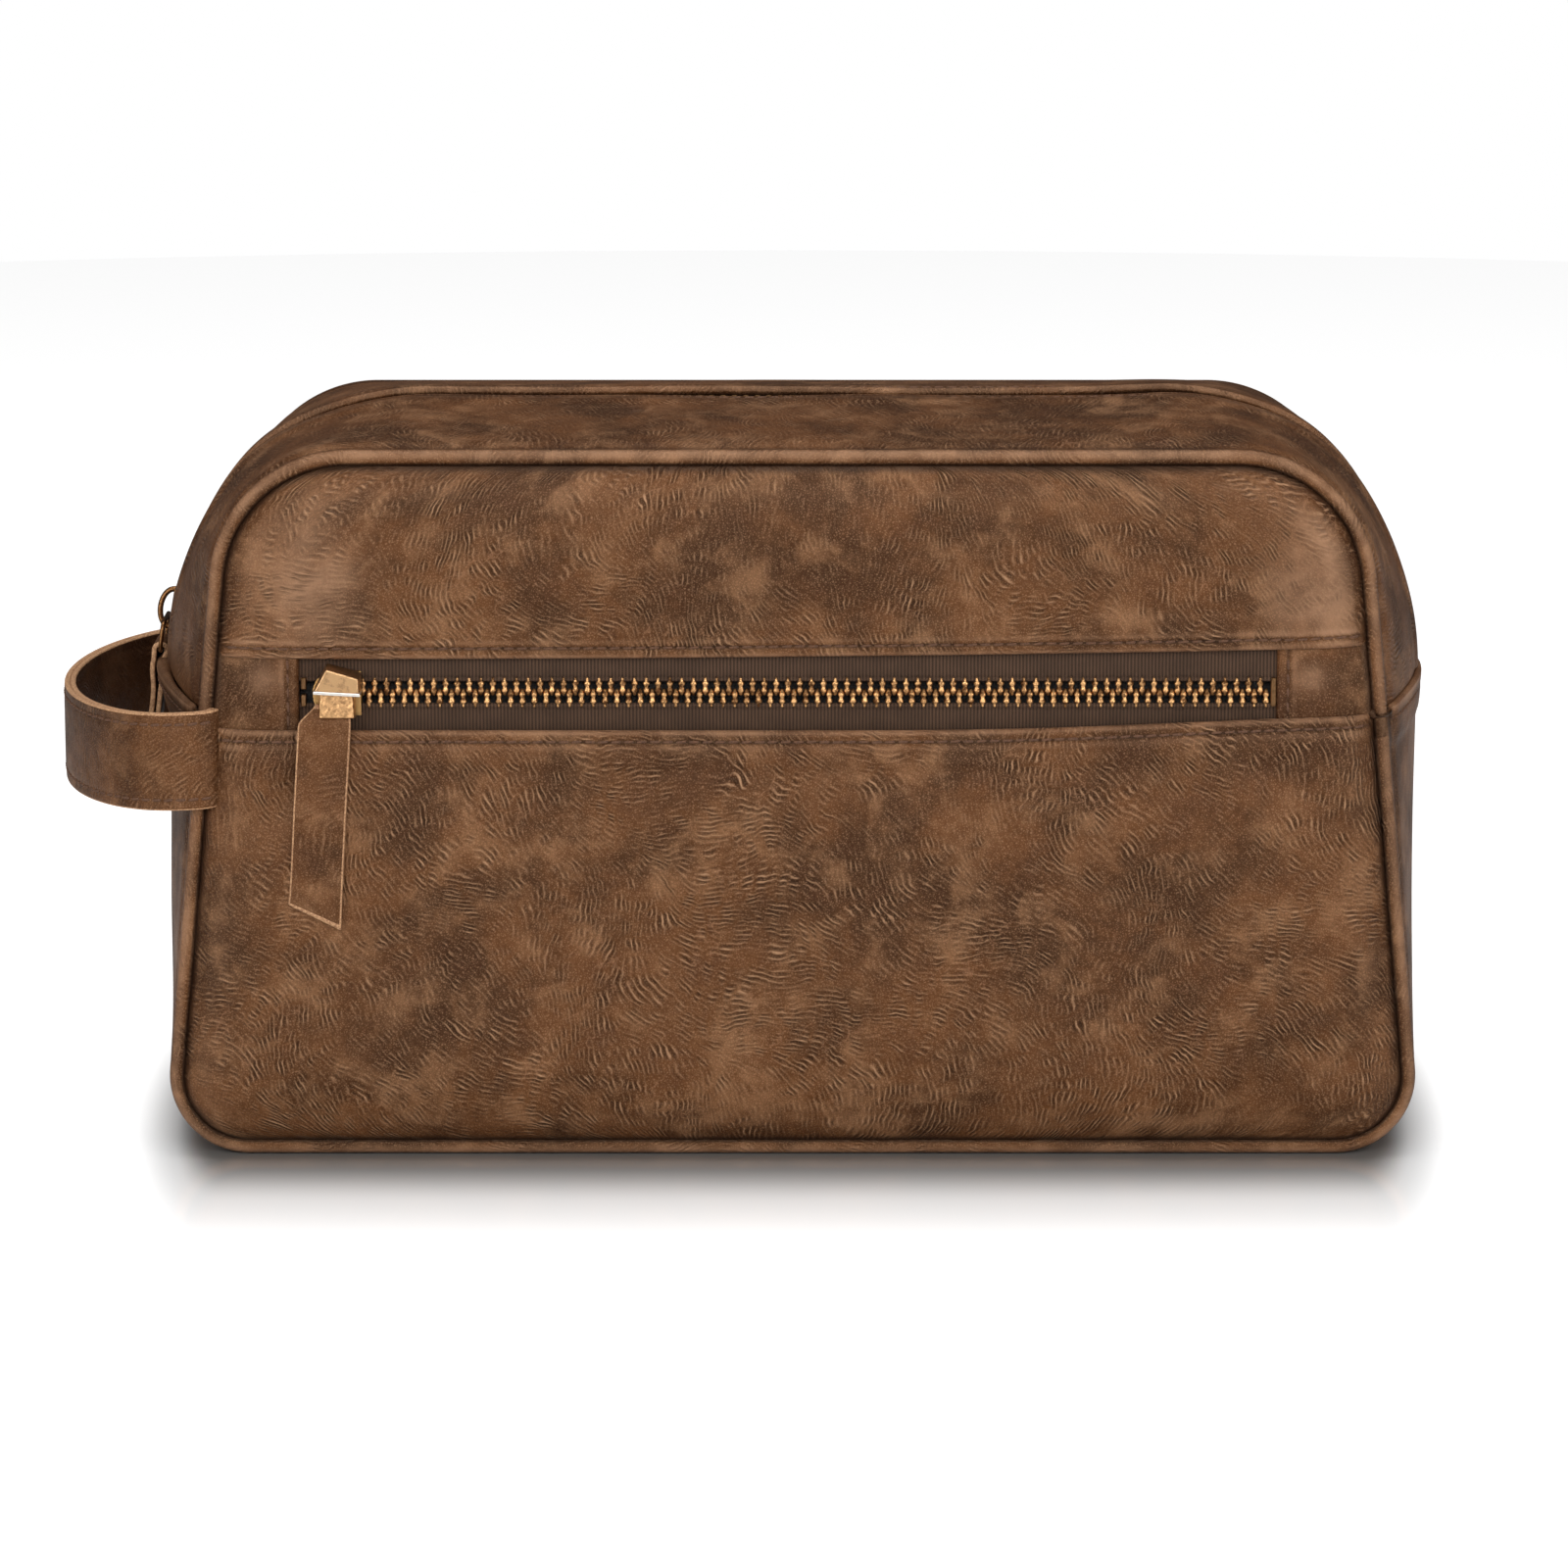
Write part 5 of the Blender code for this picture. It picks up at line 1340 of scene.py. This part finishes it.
def pocket_pull(rise_at):
    """The flat strip under the head: it narrows and turns in where the head grips it, and has a slanting cut end."""
    top = np.array([-96.4 * MM, 97.2 * MM])
    bottom = np.array([-99.15 * MM, 52.7 * MM])
    slant = 2.6 * MM
    share = np.linspace(0.0, 1.0, 60)
    middle = top + (bottom - top) * share[:, None]
    pinched = 1.0 - ease((middle[:, 1] - 93.0 * MM) / (4.4 * MM))
    half = 0.5 * PULL_WIDTH * (0.62 + 0.38 * pinched)
    middle[:, 0] += 1.2 * MM * (1.0 - pinched)
    y = STRAP_LOW.y + 0.7 * MM - 0.8 * MM * share + 0.35 * MM * np.sin(9.0 * share)
    y = y + 1.5 * MM * (1.0 - pinched)
    centres = np.stack([middle[:, 0], y, middle[:, 1]], -1)
    across = np.stack([1.0 + 0.0 * share, 0.10 * np.sin(5.0 * share), -slant * share ** 6 / (0.5 * PULL_WIDTH)], -1)
    across = across * (half / (0.5 * PULL_WIDTH))[:, None]
    out = np.repeat([[0.0, -1.0, 0.0]], len(share), 0)
    strap("pocket_pull_strip", centres, across, out, PULL_WIDTH, 1.35 * MM, leather_for("pocket_pull", 12.0, creases=0.3),
          body="pocket_pull", stands_for=("pocket_pull_strap",))
    pocket_head()


def solid(name, outline_back, outline_front, back_y, front_y, material, bevel, **ways):
    """A faceted block between two outlines of equal length, given as x and z, at two depths."""
    count = len(outline_back)
    vertices = [(x, back_y, z) for x, z in outline_back] + [(x, front_y, z) for x, z in outline_front]
    faces = [tuple(range(count)), tuple(range(2 * count - 1, count - 1, -1))]
    faces += [(k, k + count, (k + 1) % count + count, (k + 1) % count) for k in range(count)]
    item = mesh_piece(name, vertices, faces, [material], **ways)
    face_outwards(item.data, np.mean(vertices, 0))
    bevelled(item, bevel)
    return item


def bevelled(item, width, segments=3):
    bevel = item.modifiers.new("edges", "BEVEL")
    bevel.width = width
    bevel.segments = segments
    bevel.limit_method = "ANGLE"
    bevel.harden_normals = True
    return item


def pocket_head():
    """The hammered brass head that grips the strip."""
    middle = 0.5 * (HEAD_LOW.x + HEAD_HIGH.x)
    top, low = HEAD_HIGH.z + 1.2 * MM, HEAD_LOW.z - 0.3 * MM
    wide, narrow = 3.95 * MM, 3.65 * MM
    outline = [(middle - wide, low), (middle + wide, low), (middle + narrow, top), (middle - narrow, top)]
    front = [(x + (0.35 * MM if x < middle else -0.35 * MM), z + (0.3 * MM if z == low else 0.0)) for x, z in outline]
    item = solid("pocket_pull_grip", outline, front, HEAD_HIGH.y + 0.3 * MM, HEAD_LOW.y - 1.1 * MM, HEAD_BRASS, 0.3 * MM,
                 body="pocket_pull", stands_for=("pocket_pull_head",))
    return item


def slider_plates(name, turn, body, node, materials):
    """Two shield-shaped plates, joined by a post at the nose, with turned-in side lips. turn takes mm to the frame."""
    outline = [(-5.0, 1.5), (-4.2, 3.2), (-2.2, 3.9), (1.5, 4.1), (4.3, 4.5), (4.9, 3.9)]
    outline = outline + [(x, -y) for x, y in outline[::-1]]
    vertices, faces = [], []
    for low, high in ((1.45, 2.35), (-2.35, -1.45)):
        first = len(vertices)
        count = len(outline)
        vertices += [(x, y, low) for x, y in outline] + [(x, y, high) for x, y in outline]
        faces.append(tuple(first + k for k in range(count - 1, -1, -1)))
        faces.append(tuple(first + count + k for k in range(count)))
        faces += [(first + k, first + (k + 1) % count, first + count + (k + 1) % count, first + count + k) for k in range(count)]
    for hand in (1.0, -1.0):
        for low, high in ((0.85, 1.6), (-1.6, -0.85)):
            add_box(vertices, faces, (-2.4, hand * 4.0, low), (4.9, hand * 4.7, high))
    add_box(vertices, faces, (-5.2, -1.1, -1.6), (-3.4, 1.1, 1.6))
    placed = [turn @ Vector([c * MM for c in v]) for v in vertices]
    item = mesh_piece(name, placed, faces, materials, body=body, stands_for=(node,))
    outward_shells(item)
    return bevelled(item, 0.22 * MM)


def add_box(vertices, faces, low, high):
    first = len(vertices)
    low, high = [min(a, b) for a, b in zip(low, high)], [max(a, b) for a, b in zip(low, high)]
    for z in (low[2], high[2]):
        vertices += [(low[0], low[1], z), (high[0], low[1], z), (high[0], high[1], z), (low[0], high[1], z)]
    faces += [tuple(first + k for k in face) for face in
              ((3, 2, 1, 0), (4, 5, 6, 7), (0, 1, 5, 4), (1, 2, 6, 5), (2, 3, 7, 6), (3, 0, 4, 7))]


def outward_shells(item):
    """Makes every closed shell of a mesh face outwards, and shades it smooth."""
    bm = bmesh.new()
    bm.from_mesh(item.data)
    bmesh.ops.recalc_face_normals(bm, faces=bm.faces)
    bm.to_mesh(item.data)
    bm.free()
    item.data.shade_smooth()


def pocket_frame():
    middle = 0.5 * (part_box("pocket_slider")[0].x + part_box("pocket_slider")[1].x)
    turn = Matrix(((1.0, 0.0, 0.0), (0.0, 0.0, -1.0), (0.0, 1.0, 0.0))).to_4x4()
    return Matrix.Translation((middle, POCKET_CHAIN_Y, POCKET_CHAIN_Z)) @ turn


def pocket_slider():
    turn = pocket_frame()
    slider_plates("pocket_slider_plates", turn, "pocket_slider", "pocket_slider", [PLATE_BRASS])
    x, _, z = turn.translation
    back = [(-4.9, 1.0), (5.1, 0.4), (5.0, 4.6), (-2.1, 6.5)]
    front = [(-4.5, 1.4), (4.7, 0.9), (4.6, 3.9), (-2.0, 5.9)]
    back = [(x + a * MM, z + b * MM) for a, b in back]
    front = [(x + a * MM, z + b * MM) for a, b in front]
    solid("pocket_slider_cap", back, front, POCKET_CHAIN_Y - 2.0 * MM, POCKET_CHAIN_Y - 7.0 * MM, CAP_BRASS, 0.3 * MM,
          body="pocket_slider", slot="pocket_slider")
    rim = [(-4.7, 0.75), (5.0, 0.25), (5.0, 0.95), (-4.7, 1.45)]
    rim = [(x + a * MM, z + b * MM) for a, b in rim]
    solid("pocket_slider_rim", rim, rim, POCKET_CHAIN_Y - 2.0 * MM, POCKET_CHAIN_Y - 7.3 * MM, STEEL, 0.2 * MM,
          body="pocket_slider", slot="pocket_slider")


def main_frame():
    """The main slider's own frame: x up the chain, y to the back, z out of the bag."""
    angle = math.radians(10.5)
    s, c = math.sin(angle), math.cos(angle)
    turn = Matrix(((s, 0.0, -c), (0.0, 1.0, 0.0), (c, 0.0, s))).to_4x4()
    origin, _, _ = main_place(angle * CHAIN_RADIUS)
    return Matrix.Translation(origin) @ turn


def wire(name, points, radius, material, cyclic=False, **ways):
    """A round wire through points as a mesh piece."""
    curve = bpy.data.curves.new(name, "CURVE")
    curve.dimensions = "3D"
    curve.bevel_depth = radius
    curve.bevel_resolution = 5
    curve.use_fill_caps = True
    spline = curve.splines.new("POLY")
    spline.points.add(len(points) - 1)
    for point, place in zip(spline.points, points):
        point.co = (*place, 1.0)
    spline.use_cyclic_u = cyclic
    temporary = bpy.data.objects.new(name + "_curve", curve)
    bpy.context.scene.collection.objects.link(temporary)
    mesh = bpy.data.meshes.new_from_object(temporary.evaluated_get(bpy.context.evaluated_depsgraph_get()))
    bpy.data.objects.remove(temporary)
    mesh.name = name
    mesh.materials.clear()
    mesh.materials.append(material)
    mesh.shade_smooth()
    item = bpy.data.objects.new(name, mesh)
    bpy.context.scene.collection.objects.link(item)
    return claim(item, **ways)


def main_slider():
    """The main slider with its bail, an arch along the chain that the ring hangs in."""
    turn = main_frame()
    slider_plates("main_slider_plates", turn, "main_slider", "main_slider", [SHADED_BRASS])
    arch = []
    for angle in np.linspace(0.0, math.pi, 25):
        arch.append(turn @ Vector((4.2 * MM * math.cos(angle), 0.0, (1.8 + 3.1 * math.sin(angle) ** 0.8) * MM)))
    wire("main_slider_bail", arch, 0.62 * MM, SHADED_BRASS, body="main_slider", slot="main_slider")


def main_pull():
    """A wire ring, and a strip of leather folded over its lower bar."""
    low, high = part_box("main_pull_ring")
    strap_low, strap_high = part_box("main_pull_strap")
    pivot = main_frame() @ Vector((-2.4 * MM, 0.0, 3.33 * MM))
    hang = Matrix.Translation(pivot) @ Matrix.Rotation(math.radians(7.5), 4, "Y")
    half, drop, corner = 6.9 * MM, 6.2 * MM, 1.6 * MM
    ring = []
    for y, z, first in ((half, 0.0, 0.5), (half, -drop, 0.0), (-half, -drop, -0.5), (-half, 0.0, -1.0)):
        centre_y, centre_z = y - math.copysign(corner, y), z + (corner if z < 0.0 else -corner)
        for angle in np.linspace(first * math.pi, (first - 0.5) * math.pi, 7):
            ring.append(hang @ Vector((0.0, centre_y + corner * math.cos(angle), centre_z + corner * math.sin(angle))))
    wire("main_pull_link", ring, 0.50 * MM, SHADED_BRASS, cyclic=True, body="main_pull", stands_for=("main_pull_ring",))
    radius = 1.35 * MM
    length = pivot.z - strap_low.z
    side = np.linspace(-length, -drop - 2.0 * MM, 26)
    turn = np.linspace(0.0, math.pi, 12)
    spread = 0.72 * MM + 0.5 * MM * bump_at(side + drop + 4.0 * MM, 3.0 * MM)
    down = [(s + 0.25 * MM * math.sin(260.0 * z), z) for s, z in zip(spread, side)]
    over = [(radius * math.cos(a), -drop + radius * math.sin(a)) for a in turn]
    up = [(-s + 0.25 * MM * math.sin(260.0 * z), z) for s, z in zip(spread, side)][::-1]
    path = np.array(down + over + up)
    centres = [np.array(hang @ Vector((x, 0.0, z))) for x, z in path]
    forward = unit(np.gradient(path, axis=0))
    out = [np.array(hang.to_3x3() @ Vector((f[1], 0.0, -f[0]))) for f in forward]
    across = np.repeat([[0.0, 1.0, 0.0]], len(path), 0)
    strap("main_pull_strip", centres, across, out, PULL_WIDTH, 1.05 * MM, leather_for("main_pull", 13.0, creases=0.3),
          body="main_pull", stands_for=("main_pull_strap",))


def zip_stop(node):
    """A clamp at the end of a chain, the CAD solid with worn, rounded edges."""
    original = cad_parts[node]
    vertices = [original.matrix_world @ v.co for v in original.data.vertices]
    faces = [tuple(face.vertices) for face in original.data.polygons]
    item = mesh_piece(node + "_clamp", vertices, faces, [STOP_BRASS], stands_for=(node,))
    return bevelled(item, 0.3 * MM)


def zip_stops():
    zip_stop("pocket_bottom_stop")
    zip_stop("main_bottom_stop")
    for label, hand in (("upper", 1.0), ("lower", -1.0)):
        open_pocket(zip_stop("pocket_top_stop_" + label))
    for label, hand in (("front", 1.0), ("back", -1.0)):
        open_main(zip_stop("main_top_stop_" + label))


def carried_over():
    """Better materials for the CAD nodes that are shown as they are, all of them inside the bag."""
    for node in ("lining_front", "lining_back", "lining_top_front", "lining_top_back", "lining_base", "pocket_pouch",
                 "seam_binding_front", "seam_binding_back"):
        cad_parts[node].data.materials[0] = BLACK_CLOTH
    for node in ("foam_front", "foam_back"):
        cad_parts[node].data.materials[0] = FOAM
    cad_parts["base_board"].data.materials[0] = BOARD


# ---- camera, light and floor ----

FLOOR_RADIUS = 1.5


def studio():
    camera = bpy.data.cameras.new("camera")
    camera.lens = 146.8
    camera.sensor_width = 36.0
    view = bpy.data.objects.new("camera", camera)
    view.location = (-1.8 * MM, -1351.5 * MM, 350.8 * MM)
    view.rotation_euler = (math.radians(90.0 - 11.79), 0.0, 0.0)
    bpy.context.scene.collection.objects.link(view)
    bpy.context.scene.camera = view

    mesh = bpy.data.meshes.new("floor")
    turns = np.linspace(0.0, 2.0 * math.pi, 97)[:-1]
    mesh.from_pydata([(FLOOR_RADIUS * math.cos(a), FLOOR_RADIUS * math.sin(a), 0.0) for a in turns], [], [tuple(range(96))])
    floor = bpy.data.objects.new("floor", mesh)
    floor.location.z = -0.2 * MM
    bpy.context.scene.collection.objects.link(floor)
    mesh.materials.append(pale_floor())
    white_room()
    soft_box("overhead", (0.0, -0.05, 1.20), (0.0, 0.0, 0.0), 1.1, 0.5, 9.0)
    soft_box("front", (0.0, -1.50, 0.80), (0.0, 0.0, 0.08), 1.1, 0.5, 11.0)
    for label, hand in (("left", -1.0), ("right", 1.0)):
        soft_box(label + "_side", (hand * 0.72, -0.85, 0.30), (hand * 0.06, 0.0, 0.10), 0.30, 0.7, 5.0)


def pale_floor():
    """A glossy pale floor, with a painted contact shadow beside the bag. To the camera alone it glows pure white away
    from the bag.
    """
    s = Shader("pale_floor")
    axes = s.node("ShaderNodeSeparateXYZ")
    s.link(s.node("ShaderNodeTexCoord").outputs["Object"], axes.inputs[0])
    beyond = s.math("MAXIMUM", s.math("SUBTRACT", s.math("ABSOLUTE", axes.outputs[0]), 0.118), 0.0)
    across = s.math("POWER", s.math("MULTIPLY", beyond, 6.0), 2.0)
    away = s.math("POWER", s.math("ADD", across, s.math("POWER", s.math("ABSOLUTE", axes.outputs[1]), 2.0)), 0.5)
    glow = s.span(away, 0.070, 0.16, 0.0, 0.75)
    seen = s.node("ShaderNodeLightPath").outputs["Is Camera Ray"]
    # Painted contact shadow: the floor's colour darkens right beside the bag.
    shade = s.mix(s.span(away, 0.055, 0.088), (0.20, 0.19, 0.18), (0.78, 0.78, 0.78))
    return s.finish(
        base_color=shade, roughness=0.08, specular_ior_level=0.9,
        emission_color=(1.0, 1.0, 1.0), emission_strength=s.math("MULTIPLY", glow, seen),
    )


def white_room():
    """White to the camera; to the bag, soft light that is weak in reflections from behind it."""
    world = bpy.data.worlds.new("studio")
    world.use_nodes = True
    tree = world.node_tree

    def made(kind, operation=None):
        node = tree.nodes.new(kind)
        if operation:
            node.operation = operation
        return node

    def spanned(value, low, high, to_low, to_high):
        node = made("ShaderNodeMapRange")
        for socket, number in zip(list(node.inputs)[1:5], (low, high, to_low, to_high)):
            socket.default_value = number
        tree.links.new(value, node.inputs[0])
        return node.outputs[0]

    def joined(operation, a, b):
        node = made("ShaderNodeMath", operation)
        tree.links.new(a, node.inputs[0])
        tree.links.new(b, node.inputs[1])
        return node.outputs[0]

    axes = made("ShaderNodeSeparateXYZ")
    tree.links.new(made("ShaderNodeTexCoord").outputs["Generated"], axes.inputs[0])
    path = made("ShaderNodeLightPath")
    level = spanned(axes.outputs["Y"], -0.4, 0.3, 0.25, 0.40)
    behind = spanned(axes.outputs["Y"], 0.1, 0.6, 0.0, 0.85)
    kept = spanned(joined("MULTIPLY", behind, path.outputs["Is Glossy Ray"]), 0.0, 1.0, 1.0, 0.0)
    strength = joined("MAXIMUM", joined("MULTIPLY", level, kept), path.outputs["Is Camera Ray"])
    background = tree.nodes["Background"]
    background.inputs["Color"].default_value = (1.0, 1.0, 1.0, 1.0)
    tree.links.new(strength, background.inputs["Strength"])
    bpy.context.scene.world = world
    bpy.context.scene.view_settings.view_transform = "Standard"


def soft_box(name, place, aim, width, height, watts):
    lamp = bpy.data.lights.new(name, "AREA")
    lamp.shape = "RECTANGLE"
    lamp.size = width
    lamp.size_y = height
    lamp.energy = watts
    item = bpy.data.objects.new(name, lamp)
    item.location = place
    item.rotation_euler = (Vector(aim) - Vector(place)).to_track_quat("-Z", "Y").to_euler()
    bpy.context.scene.collection.objects.link(item)


# ---- build ----

front_rise = padded("front_padding", (WINDOW_LOW - 2.0 * MM, WINDOW_HIGH + 2.0 * MM))
back_rise = padded("back_padding", (1.0, 1.0))
front_panels(front_rise)
back_panel(back_rise)
pocket_tab("pocket_tab_left", -1.0)
pocket_tab("pocket_tab_right", 1.0)
top_gusset("top_gusset_front", -1.0, 5.0)
top_gusset("top_gusset_back", 1.0, 6.0)
bottom_gusset()
pocket_zip()
main_zip()
pocket_slider()
pocket_pull(front_rise)
main_slider()
main_pull()
handle()
zip_stops()
carried_over()
studio()
